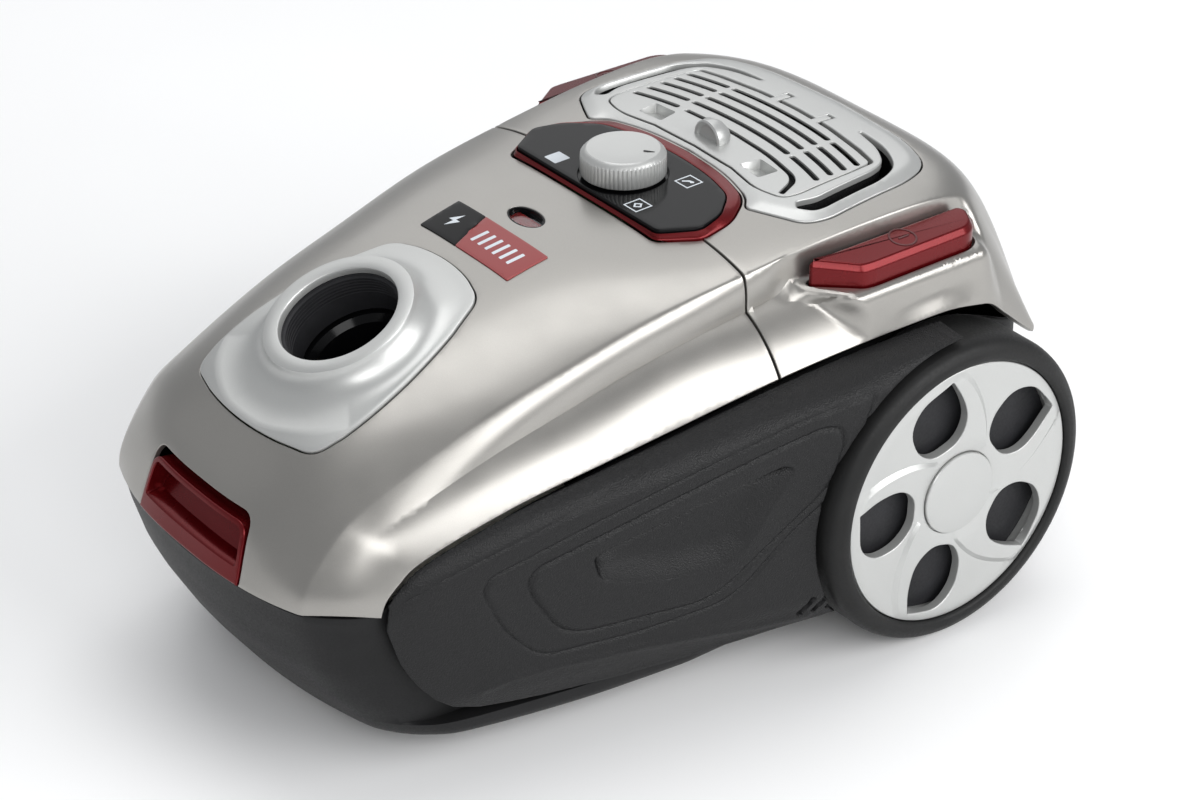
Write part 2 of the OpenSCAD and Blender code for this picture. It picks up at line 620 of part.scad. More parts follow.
module motor_mount_front() {
    color(rubber) along_y(motor_at + [0, -38, 0]) difference() {
        cylinder(r = 60, h = 12);
        translate([0, 0, -1]) cylinder(r = 30, h = 14);
        translate([0, 0, 4]) cylinder(r = 55, h = 14);
    }
}

module motor_mount_rear() {
    color(rubber) along_y(motor_at + [0, 52, 0]) ring(44, 40, 12);
}

module cord_reel() {
    color(dark) along_x(reel_at + [-22, 0, 0]) difference() {
        union() {
            cylinder(r = 64, h = 2.5);
            translate([0, 0, 41.5]) cylinder(r = 64, h = 2.5);
            cylinder(r = 26, h = 44);
        }
        translate([0, 0, -1]) cylinder(r = 5.05, h = 46);
        for (i = [0:5]) rotate([0, 0, 60 * i]) translate([44, 0, -1]) cylinder(r = 10, h = 46);
    }
}

module reel_bracket() {
    color(steel) {
        along_x(reel_at + [-28, 0, 0]) cylinder(r = 5, h = 54);
        slab(reel_at + [-32, -14, -73], reel_at + [-28, 14, 14]);
        slab(reel_at + [26, -10, -73], reel_at + [29, 10, 12]);
    }
}

module cord_gland() {
    color(black) along_y([-58, 197, 60]) difference() {
        union() {
            cylinder(r = 8.9, h = 6);
            translate([0, 0, 4.4]) cylinder(r = 12, h = 2.6);
        }
        translate([0, 0, -1]) cylinder(r = 5, h = 12);
    }
}

// ---- Dust bag ---------------------------------------------------------------------------------
module at_collar() {
    at_inlet() translate([0, 0, -58]) children();
}

module bag_collar() {
    color("#c8a678") at_collar() difference() {
        slab([-45, -38, 0], [45, 38, 2.5]);
        translate([0, 0, -1]) cylinder(r = 25, h = 6);
    }
}

module bag_holder() {
    color("#6d8f3c") at_collar() difference() {
        slab([-52, -45, -5.2], [52, 45, -0.3]);
        slab([-40, -34, -7], [40, 60, 2]);
    }
}

// A soft bag: rounded rings from the floor of the tub up to the collar
bag_rings = [[20, 30, 40, 0], [23, 56, 62, 0], [32, 72, 70, 0], [60, 82, 76, 0], [82, 80, 70, 0], [98, 66, 56, 8],
    [108, 46, 42, 16], [117, 29, 28, 23], [126.6, 27, 26, 23]];
function bag_ring(r) = [for (j = [23:-1:0]) let(a = 15 * j, c = cos(a), s = sin(a),
    q = pow(pow(abs(c), 3) + pow(abs(s), 3), -1 / 3))
    [r[1] * q * c, -92 + r[2] * q * s * cos(r[3]) - (r[0] - 20) * 0.08, r[0] + r[2] * q * s * sin(r[3])]];
module dust_bag() {
    color("#e4dfd2") difference() {
        through_rings([for (r = bag_rings) bag_ring(r)]);
        translate(swivel_at) cylinder(r = 38, h = 38);
        translate(swivel_at) cylinder(r = 15, h = 46);
    }
}

// ---- Wheels -----------------------------------------------------------------------------------
module wheel_frame(side) {
    if (side > 0) {
        translate([track_half, wheel_y, wheel_z]) rotate([0, 90, 0]) children();
    } else {
        translate([-track_half, wheel_y, wheel_z]) rotate([0, -90, 0]) children();
    }
}

module tyre(side) {
    color(rubber) wheel_frame(side) rotate_extrude() polygon([[rim_r, -tyre_w], [tyre_r - 5, -tyre_w],
        [tyre_r - 1.5, -tyre_w + 1.6], [tyre_r, -tyre_w + 5], [tyre_r, -6], [tyre_r - 0.7, -3.4],
        [tyre_r - 2.6, -1.2], [tyre_r - 5.4, -0.2], [rim_r + 2.5, 0], [rim_r + 0.8, -1], [rim_r, -3]]);
}

module rim(side) {
    color(silver) wheel_frame(side) difference() {
        union() {
            translate([0, 0, -6]) cylinder(r = rim_r, h = 4.4);
            translate([0, 0, -tyre_w]) ring(rim_r, rim_r - 3, tyre_w - 4);
            translate([0, 0, -tyre_w + 2]) ring(12, 6.05, tyre_w - 4);
        }
        translate([0, 0, -12]) cylinder(r = 6.05, h = 14);
        translate([0, 0, -3]) cylinder(r = 20.3, h = 4);
        for (i = [0:rim_holes - 1]) rotate([0, 0, 360 / rim_holes * i + 18]) translate([42, 0, -9]) {
            cylinder(r = 14.6, h = 14);
        }
    }
}

module hub_cap(side) {
    color(silver) wheel_frame(side) {
        translate([0, 0, -3]) cylinder(r = 20, h = 2.2);
        translate([0, 0, -0.8]) cylinder(r1 = 20, r2 = 18.4, h = 0.8);
    }
}

module wheel_disc(side) {
    color(rubber) wheel_frame(side) translate([0, 0, -13]) ring(rim_r - 3.2, 12.2, 2.5);
}

module axle(side) {
    color(steel) wheel_frame(side) {
        translate([0, 0, -track_half + 92]) cylinder(r = 6, h = track_half - 92 - 3.6);
        translate([0, 0, -track_half + 96.2]) cylinder(r = 12, h = 3.2);
    }
}

module tyre_right() {
    tyre(1);
}

module tyre_left() {
    tyre(-1);
}

module rim_right() {
    rim(1);
}

module rim_left() {
    rim(-1);
}

module hub_cap_right() {
    hub_cap(1);
}

module hub_cap_left() {
    hub_cap(-1);
}

module wheel_disc_right() {
    wheel_disc(1);
}

module wheel_disc_left() {
    wheel_disc(-1);
}

module axle_right() {
    axle(1);
}

module axle_left() {
    axle(-1);
}

// ---- Caster -----------------------------------------------------------------------------------
caster_trail = 13;
module caster_socket() {
    color(steel) translate(swivel_at + [0, 0, 33.6]) difference() {
        union() {
            cylinder(r = 8.9, h = 9);
            translate([0, 0, 2.5]) cylinder(r = 12, h = 1);
        }
        translate([0, 0, -1]) cylinder(r = 4.05, h = 12);
    }
}

module caster_fork() {
    color(dark) translate(swivel_at) difference() {
        union() {
            translate([0, 0, 31]) cylinder(r = 4, h = 11);
            translate([0, 0, 30]) cylinder(r = 9, h = 2.6);
            slab([-11, -8, 29.4], [11, 20, 32]);
            for (side = [-1, 1]) slab([side * 9.4 - 1.6, 5, 9], [side * 9.4 + 1.6, 20, 30]);
        }
        along_x([-14, caster_trail, caster_r]) cylinder(r = 2, h = 28);
    }
}

module caster_wheel() {
    color(rubber) along_x(swivel_at + [-7, caster_trail, caster_r]) rotate_extrude() polygon([[2.05, 0],
        [caster_r - 2, 0], [caster_r, 2.5], [caster_r, 11.5], [caster_r - 2, 14], [2.05, 14]]);
}

module caster_pin() {
    color(steel) along_x(swivel_at + [-11.5, caster_trail, caster_r]) cylinder(r = 2, h = 23);
}

base_tub();
side_panel_right();
side_panel_left();
rear_cover();
exhaust_frame();
filter_tray();
exhaust_cover();
exhaust_latch_tab();
exhaust_filter();
control_frame();
control_panel();
knob();
potentiometer();
circuit_board();
hinge_pin();
lid_shell();
lid_hinge_arms();
lid_gasket();
inlet_trim();
inlet_seal();
inlet_tube();
indicator_window();
indicator_flap();
badge_plate();
lid_latch();
latch_pin();
latch_spring();
power_pedal();
power_spring();
power_switch();
rewind_pedal();
rewind_spring();
reel_brake_arm();
partition_grille();
motor_filter();
motor_can();
motor_fan();
motor_mount_front();
motor_mount_rear();
cord_reel();
reel_bracket();
cord_gland();
bag_holder();
bag_collar();
dust_bag();
axle_right();
axle_left();
tyre_right();
rim_right();
hub_cap_right();
wheel_disc_right();
tyre_left();
rim_left();
hub_cap_left();
wheel_disc_left();
caster_socket();
caster_fork();
caster_wheel();
caster_pin();
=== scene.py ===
"""Canister vacuum cleaner: the surfaces that show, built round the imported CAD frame."""

import json
import math

import bmesh
import bpy
import numpy as np
from mathutils import Matrix, Vector
from mathutils.geometry import delaunay_2d_cdt


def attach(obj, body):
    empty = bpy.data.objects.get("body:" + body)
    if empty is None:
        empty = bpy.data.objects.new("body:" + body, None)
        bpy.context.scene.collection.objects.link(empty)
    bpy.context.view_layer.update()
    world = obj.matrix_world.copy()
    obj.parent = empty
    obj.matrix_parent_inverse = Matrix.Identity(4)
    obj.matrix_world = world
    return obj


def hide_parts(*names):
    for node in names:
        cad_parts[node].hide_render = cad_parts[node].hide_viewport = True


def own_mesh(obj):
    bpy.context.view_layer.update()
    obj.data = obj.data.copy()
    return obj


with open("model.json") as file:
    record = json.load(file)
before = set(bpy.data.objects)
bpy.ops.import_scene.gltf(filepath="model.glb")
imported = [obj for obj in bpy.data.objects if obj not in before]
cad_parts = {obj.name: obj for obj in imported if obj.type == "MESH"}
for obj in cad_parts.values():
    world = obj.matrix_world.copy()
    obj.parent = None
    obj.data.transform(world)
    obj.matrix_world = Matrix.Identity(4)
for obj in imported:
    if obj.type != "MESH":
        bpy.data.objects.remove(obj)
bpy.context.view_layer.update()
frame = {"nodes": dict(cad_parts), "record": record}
MM = 0.001  # shapes below are laid out in millimetres and scaled to metres in mesh()


# ---- Curves and small helpers --------------------------------------------------------
def ease(a, low, high):
    t = np.clip((a - low) / (high - low), 0, 1)
    return t * t * (3 - 2 * t)


def mix(a, b, t):
    return a + (b - a) * t


def bend(a, b, c, t):
    return (1 - t) ** 2 * a + 2 * t * (1 - t) * b + t * t * c


def spline(knots):
    """Natural cubic curve through evenly numbered knots, as a function of the knot number."""
    p = np.array(knots, float).reshape(len(knots), -1)
    n = len(p)
    m = np.zeros_like(p)
    k = n - 2
    if k > 0:
        a = np.diag(np.full(k, 4.0)) + np.diag(np.ones(k - 1), 1) + np.diag(np.ones(k - 1), -1)
        m[1:-1] = np.linalg.solve(a, 6 * (p[:-2] - 2 * p[1:-1] + p[2:]))

    def at(t):
        t = np.atleast_1d(np.asarray(t, float))
        i = np.clip(np.floor(t).astype(int), 0, n - 2)
        f = (t - i)[:, None]
        g = 1 - f
        return p[i] * g + p[i + 1] * f + ((g**3 - g) * m[i] + (f**3 - f) * m[i + 1]) / 6

    return at


def rounded(corners, radius, arc=6):
    """A closed outline with its corners turned into curves; radius is one number or one per corner."""
    c = np.array(corners, float)
    n = len(c)
    radii = np.broadcast_to(np.asarray(radius, float), (n,))
    out = []
    for i in range(n):
        to_a, to_b = c[i - 1] - c[i], c[(i + 1) % n] - c[i]
        la, lb = np.linalg.norm(to_a), np.linalg.norm(to_b)
        r = min(radii[i], 0.48 * la, 0.48 * lb)
        if r < 0.01:
            out.append(c[i])
            continue
        a, b = c[i] + to_a / la * r, c[i] + to_b / lb * r
        out += [bend(a, c[i], b, t) for t in np.linspace(0, 1, arc + 1)]
    return np.array(out)


def both_sides(half, arc):
    """A closed outline from its right half: x, y and corner radius, from end to end of the centre line."""
    points = [*half, *[(-x, y, r) for x, y, r in reversed(half) if x > 0]]
    return rounded([p[:2] for p in points], [p[2] for p in points], arc)


def divided(outline, step):
    out = []
    for a, b in zip(outline, np.roll(outline, -1, axis=0)):
        n = max(1, int(math.ceil(np.linalg.norm(b - a) / step)))
        out += [mix(a, b, i / n) for i in range(n)]
    return np.array(out)


def grown(outline, d):
    """The outline moved outwards by d; the outline runs counter-clockwise."""
    p = np.array(outline, float)
    if signed_area(p) < 0:
        p = p[::-1]
    e = np.roll(p, -1, axis=0) - p
    n = np.stack([e[:, 1], -e[:, 0]], 1)
    n /= np.linalg.norm(n, axis=1)[:, None] + 1e-12
    v = n + np.roll(n, 1, axis=0)
    v /= np.linalg.norm(v, axis=1)[:, None] + 1e-12
    s = 1 / np.maximum((v * n).sum(1), 0.5)
    return p + v * (d * s)[:, None]


def signed_area(p):
    q = np.roll(p, -1, axis=0)
    return 0.5 * float((p[:, 0] * q[:, 1] - q[:, 0] * p[:, 1]).sum())


def inside(points, outline):
    x, y = points[:, 0], points[:, 1]
    found = np.zeros(len(points), bool)
    for a, b in zip(outline, np.roll(outline, -1, axis=0)):
        if a[1] == b[1]:
            continue
        crosses = (a[1] > y) != (b[1] > y)
        found ^= crosses & (x < (b[0] - a[0]) * (y - a[1]) / (b[1] - a[1]) + a[0])
    return found


def distance(points, outline, closed=True):
    best = np.full(len(points), 1e9)
    ends = np.roll(outline, -1, axis=0) if closed else outline[1:]
    for a, b in zip(outline, ends):
        d = b - a
        t = np.clip(((points - a) @ d) / max(d @ d, 1e-12), 0, 1)
        best = np.minimum(best, np.linalg.norm(points - a - t[:, None] * d, axis=1))
    return best


def depth(points, outline):
    """Distance in from a closed outline, negative outside it."""
    return distance(points, outline) * np.where(inside(points, outline), 1, -1)


def beside(line, offsets, closed=True, step=2.0):
    """The line moved sideways by each offset, as open polylines that mesh edges follow."""
    if closed:
        return [np.concatenate([c, c[:1]]) for c in (divided(grown(line, o), step) for o in offsets)]
    t = np.gradient(line, axis=0)
    n = np.stack([-t[:, 1], t[:, 0]], 1) / np.linalg.norm(t, axis=1)[:, None]
    return [line + o * n for o in offsets]


def dense(line, step=2.5):
    d = np.concatenate([[0], np.cumsum(np.linalg.norm(np.diff(line, axis=0), axis=1))])
    s = np.linspace(0, d[-1], max(int(d[-1] / step), 2))
    return np.stack([np.interp(s, d, line[:, 0]), np.interp(s, d, line[:, 1])], 1)


def circle(x, y, r, n):
    a = np.linspace(0, 2 * math.pi, n, endpoint=False)
    return np.stack([x + r * np.cos(a), y + r * np.sin(a)], 1)


def box_outline(x, y, w, h, turn=0.0):
    c, s = math.cos(turn), math.sin(turn)
    return np.array([(x + a * c - b * s, y + a * s + b * c) for a, b in
                     [(-w / 2, -h / 2), (w / 2, -h / 2), (w / 2, h / 2), (-w / 2, h / 2)]])


def grid(low, high, step):
    xs = np.arange(low[0], high[0] + step, step)
    ys = np.arange(low[1], high[1] + step, step * 0.87)
    return np.array([(x + (step / 2 if j % 2 else 0), y) for j, y in enumerate(ys) for x in xs])


def trimmed(points, outline, cuts=(), gap=1.2, step=2.5, lines=()):
    """Points and triangles of the outline less the cuts; lines are open polylines that edges follow."""
    loops = [divided(np.array(o, float), step) for o in [outline, *cuts]]
    p = np.array(points, float)
    keep = inside(p, loops[0]) & (distance(p, loops[0]) > gap)
    for c in loops[1:]:
        keep &= ~inside(p, c) & (distance(p, c) > gap)
    for line in lines:
        keep &= distance(p, line, False) > 0.5 * gap
    p = p[keep]
    verts, edges = [Vector(v) for v in p], []
    for c in loops:
        k = len(verts)
        verts += [Vector(v) for v in c]
        edges += [(k + i, k + (i + 1) % len(c)) for i in range(len(c))]
    for line in lines:
        k = len(verts)
        verts += [Vector(v) for v in line]
        edges += [(k + i, k + i + 1) for i in range(len(line) - 1)]
    co, _, faces = delaunay_2d_cdt(verts, edges, [], 0, 1e-6)[:3]
    co, tri = np.array([tuple(c) for c in co]), np.array([tuple(f) for f in faces])
    a, b, c = co[tri[:, 0]], co[tri[:, 1]], co[tri[:, 2]]
    turn = (b[:, 0] - a[:, 0]) * (c[:, 1] - a[:, 1]) - (c[:, 0] - a[:, 0]) * (b[:, 1] - a[:, 1])
    tri[turn < 0] = tri[turn < 0][:, ::-1]
    mid = (a + b + c) / 3
    keep = inside(mid, loops[0]) & (np.abs(turn) > 1e-5)
    for h in loops[1:]:
        keep &= ~inside(mid, h)
    tri = tri[keep]
    used, tri = np.unique(tri, return_inverse=True)
    return co[used], tri.reshape(-1, 3)


# ---- Meshes --------------------------------------------------------------------------
def mesh(name, verts, faces, sharp=38):
    me = bpy.data.meshes.new(name)
    me.from_pydata((np.array(verts, float) * MM).tolist(), [], [list(map(int, f)) for f in faces])
    me.validate()
    b = bmesh.new()
    b.from_mesh(me)
    bmesh.ops.remove_doubles(b, verts=b.verts, dist=1e-6)
    bmesh.ops.recalc_face_normals(b, faces=b.faces)
    b.to_mesh(me)
    b.free()
    me.polygons.foreach_set("use_smooth", [True] * len(me.polygons))
    me.set_sharp_from_angle(angle=math.radians(sharp))
    me.update()
    o = bpy.data.objects.new(name, me)
    bpy.context.scene.collection.objects.link(o)
    return o


def normals(surface, q):
    x, y = np.array([0.25, 0]), np.array([0, 0.25])
    n = np.cross(surface(q + x) - surface(q - x), surface(q + y) - surface(q - y))
    return n / (np.linalg.norm(n, axis=1)[:, None] + 1e-12)


def shell_parts(surface, flat, thick, edge=0.7, rings=4, low=None):
    """A trimmed surface made solid, with its outer edges rounded off: to a thickness, or down to a level."""
    q, tri = flat
    p, n = surface(q), normals(surface, q)
    pairs = np.concatenate([tri[:, [0, 1]], tri[:, [1, 2]], tri[:, [2, 0]]])
    known = set(map(tuple, pairs))
    rim = [e for e in map(tuple, pairs) if (e[1], e[0]) not in known]
    out = np.zeros_like(p)
    first = {}
    for i, j in rim:
        t = np.cross(p[j] - p[i], n[i] + n[j])
        t /= np.linalg.norm(t) + 1e-12
        out[i] += t
        out[j] += t
        first.setdefault(i, t)
    ids = np.array(sorted(first))
    o = out[ids] / (np.linalg.norm(out[ids], axis=1)[:, None] + 1e-12)
    scale = 1 / np.maximum((o * np.array([first[i] for i in ids])).sum(1), 0.55)
    o *= scale[:, None]
    top = p.copy()
    top[ids] -= edge * o
    verts = [top]
    place = {v: k for k, v in enumerate(ids)}
    base = len(p)
    for k in range(1, rings + 1):
        a = math.pi / 2 * k / rings
        verts.append(p[ids] - edge * o + edge * math.sin(a) * o - edge * (1 - math.cos(a)) * n[ids])
    verts.append(p - thick * n if low is None else np.column_stack([p[:, :2], np.full(len(p), low)]))
    faces = [tuple(t) for t in tri]
    last = base + rings * len(ids)
    faces += [tuple(last + t[::-1]) for t in tri]
    ring = lambda v, k: v if k == 0 else base + (k - 1) * len(ids) + place[v]
    for i, j in rim:
        for k in range(rings):
            faces.append((ring(j, k), ring(i, k), ring(i, k + 1), ring(j, k + 1)))
        faces.append((ring(j, rings), ring(i, rings), last + i, last + j))
    return np.concatenate(verts), faces


def shell(name, surface, flat, thick, edge=0.7, rings=4, sharp=38, low=None):
    return mesh(name, *shell_parts(surface, flat, thick, edge, rings, low), sharp)


def mirrored(part):
    v, f = part
    return np.array(v) * [-1, 1, 1], f


def wrap(rings, closed_rows=True, caps=False):
    """Faces between rows of equal length; closed_rows joins each row's ends, and caps fills the end rows."""
    n, m = len(rings), len(rings[0])
    verts = np.concatenate(rings)
    span = m if closed_rows else m - 1
    faces = [
        (i * m + j, i * m + (j + 1) % m, (i + 1) * m + (j + 1) % m, (i + 1) * m + j)
        for i in range(n - 1)
        for j in range(span)
    ]
    if caps:
        faces += [tuple(range(m)), tuple((n - 1) * m + j for j in range(m))]
    return verts, faces


def lathe_parts(profile, segments=96, closed=True):
    """A profile of [radius, height] turned round the z axis."""
    p = np.array(profile, float)
    a = np.linspace(0, 2 * np.pi, segments, endpoint=False)
    rows = [np.stack([r * np.cos(a), r * np.sin(a), np.full(segments, h)], 1) for r, h in p]
    if closed:
        rows.append(rows[0])
    return wrap(rows)


def joined(*parts):
    verts, faces, k = [], [], 0
    for v, f in parts:
        verts.append(np.array(v, float))
        faces += [tuple(k + i for i in face) for face in f]
        k += len(v)
    return np.concatenate(verts), faces


def moved(part, matrix):
    v, f = part
    m = np.array(matrix)
    return np.array(v) @ m[:3, :3].T + m[:3, 3], f


def box_part(low, high, r=0.4):
    """A box with rounded upright edges and bevelled rims."""
    low, high = np.array(low, float), np.array(high, float)
    r = min(r, 0.45 * float((high - low).min()))
    out = rounded([low[:2], (high[0], low[1]), high[:2], (low[0], high[1])], r, 3)
    small = grown(out, -r * 0.6)
    rows = [
        np.column_stack([o, np.full(len(o), z)])
        for o, z in [(small, low[2]), (out[: len(small)], low[2] + r), (out, high[2] - r), (small, high[2])]
    ]
    return wrap(rows, True, True)


def tilt_x(degrees, at):
    return Matrix.Translation(at) @ Matrix.Rotation(math.radians(degrees), 4, "X")


def across(at):
    """Lays the z axis of a turned part along x."""
    return Matrix.Translation(at) @ Matrix.Rotation(math.pi / 2, 4, "Y")


# ---- Materials -----------------------------------------------------------------------
NOISE_SPAN = (0.3, 0.7)  # where most of a noise texture's values lie


def material(name, color, rough, metal=0.0, coat=0.0, coat_rough=0.1, sheen=0.0):
    """A material, its node tree and shader, and object coordinates for its textures."""
    m = bpy.data.materials.new(name)
    m.use_nodes = True
    m.diffuse_color = (*color, 1)
    t = m.node_tree
    s = t.nodes["Principled BSDF"]
    for socket, value in (("Metallic", metal), ("Coat Weight", coat), ("Coat Roughness", coat_rough),
                          ("Sheen Weight", sheen), ("Base Color", (*color, 1)), ("Roughness", rough)):
        s.inputs[socket].default_value = value
    c = t.nodes.new("ShaderNodeTexCoord")
    return m, t, s, c.outputs["Object"]


def noise(tree, coords, scale, detail=3.0):
    n = tree.nodes.new("ShaderNodeTexNoise")
    n.inputs["Scale"].default_value = scale
    n.inputs["Detail"].default_value = detail
    n.inputs["Roughness"].default_value = 0.55
    tree.links.new(coords, n.inputs["Vector"])
    return n.outputs["Fac"]


def remap(tree, value, low, high):
    """Stretches the middle of a noise value over a range."""
    r = tree.nodes.new("ShaderNodeMapRange")
    for k, v in zip(("From Min", "From Max", "To Min", "To Max"), (*NOISE_SPAN, low, high)):
        r.inputs[k].default_value = v
    tree.links.new(value, r.inputs["Value"])
    return r.outputs["Result"]


def tones(color, down, up):
    """A darker and a lighter tone of a colour."""
    c = np.array(color)
    return tuple(c * down), tuple(np.minimum(c * up, 1))


def tint(tree, shader, value, dark, light):
    """Base colour between two tones, by a noise value."""
    r = tree.nodes.new("ShaderNodeValToRGB")
    for stop, place, color in zip(r.color_ramp.elements, NOISE_SPAN, (dark, light)):
        stop.position = place
        stop.color = (*color, 1)
    tree.links.new(value, r.inputs["Fac"])
    tree.links.new(r.outputs["Color"], shader.inputs["Base Color"])


def relief(tree, shader, heights, distance_m):
    """Bump from one or two height fields, each with a strength."""
    last = None
    for height, strength in heights:
        b = tree.nodes.new("ShaderNodeBump")
        b.inputs["Strength"].default_value = strength
        b.inputs["Distance"].default_value = distance_m
        tree.links.new(height, b.inputs["Height"])
        if last is not None:
            tree.links.new(last, b.inputs["Normal"])
        last = b.outputs["Normal"]
    tree.links.new(last, shader.inputs["Normal"])


def lacquer(name, color, rough, metal, coat, spread=0.06, flake=0.05, specular=0.5):
    """Metallic lacquer: fine flakes, a slightly uneven film and faint handling marks."""
    m, t, s, at = material(name, color, rough, metal, coat, 0.12)
    s.inputs["Specular IOR Level"].default_value = specular
    flakes = noise(t, at, 5200, 1.0)
    tint(t, s, flakes, *tones(color, 1 - spread, 1 + spread))
    marks = noise(t, at, 42, 4.0)
    t.links.new(remap(t, marks, rough * 0.9, rough * 1.12), s.inputs["Roughness"])
    relief(t, s, [(flakes, flake), (noise(t, at, 260, 2.0), 0.035)], 0.00012)
    return m


def moulded(name, color, rough, grain=900, depth=0.12, spread=0.18):
    """Moulded plastic or rubber: a fine grain with uneven tone and gloss; the dark ones are duller."""
    m, t, s, at = material(name, color, rough)
    s.inputs["Specular IOR Level"].default_value = 0.38 if max(color) > 0.02 else 0.24
    tint(t, s, noise(t, at, 60, 4.0), *tones(color, 1 - spread, 1 + spread))
    fine = noise(t, at, grain, 2.0)
    t.links.new(remap(t, fine, rough * 0.86, min(rough * 1.14, 1)), s.inputs["Roughness"])
    relief(t, s, [(fine, depth)], 0.0002)
    return m


def eroded(name, color, rough):
    """Spark-eroded plastic: a coarse bright-speckled texture."""
    m, t, s, at = material(name, color, rough)
    s.inputs["Specular IOR Level"].default_value = 0.26
    v = t.nodes.new("ShaderNodeTexVoronoi")
    v.inputs["Scale"].default_value = 1500
    t.links.new(at, v.inputs["Vector"])
    tint(t, s, noise(t, at, 1700, 2.0), *tones(color, 0.75, 1.3))
    t.links.new(remap(t, noise(t, at, 1300, 1.0), rough * 0.75, rough * 1.2), s.inputs["Roughness"])
    relief(t, s, [(v.outputs["Distance"], 0.55), (noise(t, at, 800, 2.0), 0.3)], 0.0004)
    return m


def woven(name, color, scale, depth, sheen):
    """Non-woven fleece, paper or foam: fibres and small cells."""
    m, t, s, at = material(name, color, 0.92, sheen=sheen)
    tint(t, s, noise(t, at, scale * 0.25, 5.0), *tones(color, 0.84, 1.08))
    relief(t, s, [(noise(t, at, scale, 5.0), depth), (noise(t, at, scale * 0.12, 3.0), depth * 0.5)], 0.0012)
    return m


def brushed(name, color, rough):
    """Plain metal with fine turning marks."""
    m, t, s, at = material(name, color, rough, 1.0)
    k = t.nodes.new("ShaderNodeMapping")
    k.inputs["Scale"].default_value = (1, 14, 14)
    t.links.new(at, k.inputs["Vector"])
    lines = noise(t, k.outputs["Vector"], 300, 3.0)
    tint(t, s, lines, *tones(color, 0.88, 1.06))
    t.links.new(remap(t, lines, rough * 0.8, rough * 1.25), s.inputs["Roughness"])
    relief(t, s, [(lines, 0.08)], 0.0001)
    return m


def clear(name, color):
    """Clear plastic, very slightly uneven."""
    m, t, s, at = material(name, color, 0.06)
    s.inputs["Transmission Weight"].default_value = 1.0
    s.inputs["IOR"].default_value = 1.46
    relief(t, s, [(noise(t, at, 180, 2.0), 0.03)], 0.0001)
    return m


FINISHES = {
    # name: kind, colour, roughness, then the kind's own settings
    "taupe_paint": (lacquer, (0.35, 0.338, 0.318), 0.32, 0.85, 0.2),
    "silver_paint": (lacquer, (0.5, 0.505, 0.495), 0.36, 0.6, 0.12, 0.04),
    "wine_paint": (lacquer, (0.13, 0.003, 0.005), 0.26, 0.6, 0.18, 0.12, 0.05, 0.3),
    "indicator_red": (moulded, (0.42, 0.02, 0.02), 0.4),
    "black_gloss": (lacquer, (0.004, 0.004, 0.0045), 0.14, 0.0, 0.0, 0.1, 0.02, 0.16),
    "dark_plastic": (moulded, (0.0085, 0.0085, 0.009), 0.5, 1100, 0.1),
    "textured_panel": (eroded, (0.0085, 0.0085, 0.009), 0.42),
    "rubber": (moulded, (0.018, 0.018, 0.02), 0.55, 700, 0.15),
    "tyre_rubber": (moulded, (0.011, 0.011, 0.011), 0.5, 800, 0.14),
    "steel": (brushed, (0.55, 0.56, 0.58), 0.3),
    "motor_metal": (brushed, (0.5, 0.5, 0.5), 0.42),
    "fan_plastic": (moulded, (0.6, 0.6, 0.57), 0.5),
    "reel_plastic": (moulded, (0.06, 0.06, 0.07), 0.5),
    "board_green": (moulded, (0.03, 0.16, 0.07), 0.45, 400, 0.2),
    "filter_paper": (woven, (0.78, 0.77, 0.7), 900, 0.3, 0.2),
    "filter_foam": (woven, (0.035, 0.07, 0.13), 1400, 0.9, 0.1),
    "holder_green": (moulded, (0.14, 0.27, 0.06), 0.45),
    "card": (woven, (0.5, 0.35, 0.2), 700, 0.2, 0.0),
    "bag_fleece": (woven, (0.74, 0.71, 0.64), 1100, 0.6, 0.4),
    "clear_window": (clear, (0.75, 0.8, 0.82)),
    "print_white": (moulded, (0.62, 0.66, 0.7), 0.5, 1200, 0.05, 0.05),
    # painted shade: a darker red that stands for the shade in the pedals' engraved icons
    "wine_dark": (lacquer, (0.07, 0.004, 0.006), 0.3, 0.5, 0.3),
    "print_red": (lacquer, (0.25, 0.03, 0.03), 0.3, 0.2, 0.2),
}
M = {name: make(name, *settings) for name, (make, *settings) in FINISHES.items()}


def finish(obj, body, slot, replaces=None, look=None):
    """Gives a piece the material of its slot and its body, and hides the CAD node it replaces; look is a material
    other than the slot's own.
    """
    obj.data.materials.clear()
    obj.data.materials.append(M[look or slot])
    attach(obj, body)
    if replaces:
        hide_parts(replaces)
    return obj


# ---- Upper body surface --------------------------------------------------------------
CENTRE = spline([(0, -206, 93.6), (0, -200.5, 110), (0, -193, 127), (0, -168, 151.5), (0, -124, 171),
                 (0, -67, 187), (0, -21, 196), (0, 26, 198), (0, 69, 201), (0, 110, 202), (0, 142, 201),
                 (0, 164, 197.5), (0, 181, 187), (0, 195, 162), (0, 205, 124)])
CREASE = spline([(75, -194.6, 93.6), (75.2, -191, 106), (76.4, -177, 124.6), (78, -158, 137.5),
                 (81.5, -112, 157.5), (85, -67, 171), (89, -21, 183.2), (92.5, 26, 190.4),
                 (95.5, 69, 195.2), (97.5, 105, 197.3), (98, 128, 196.8), (97, 148, 193), (96, 160, 184),
                 (100, 172, 161), (110, 183, 124)])
EDGE = spline([(97.5, -168.3, 93.6), (97.8, -165, 101.5), (98.6, -158, 108.5), (100, -146, 115.5),
               (104.3, -107, 126.3), (108.9, -67, 133.5), (114, -21, 141.2), (119.8, 26, 149.6),
               (124.3, 69, 154.6), (127.3, 100, 156.8), (127.5, 120, 156), (126.5, 136, 152),
               (125, 148, 147), (123, 163, 135), (121, 177, 124)])
LAST_U = 14
SEAM_U, SEAM_GAP = 7.0, 0.012  # where the lid meets the rear cover
FLANK = 50.0  # chart width given to the flank below the crease
STEP_SHARE = 0.36
STEP_AT = STEP_SHARE * FLANK  # the second crease, a short way down the flank
STEP_FROM = 2.6  # guide number where that crease begins
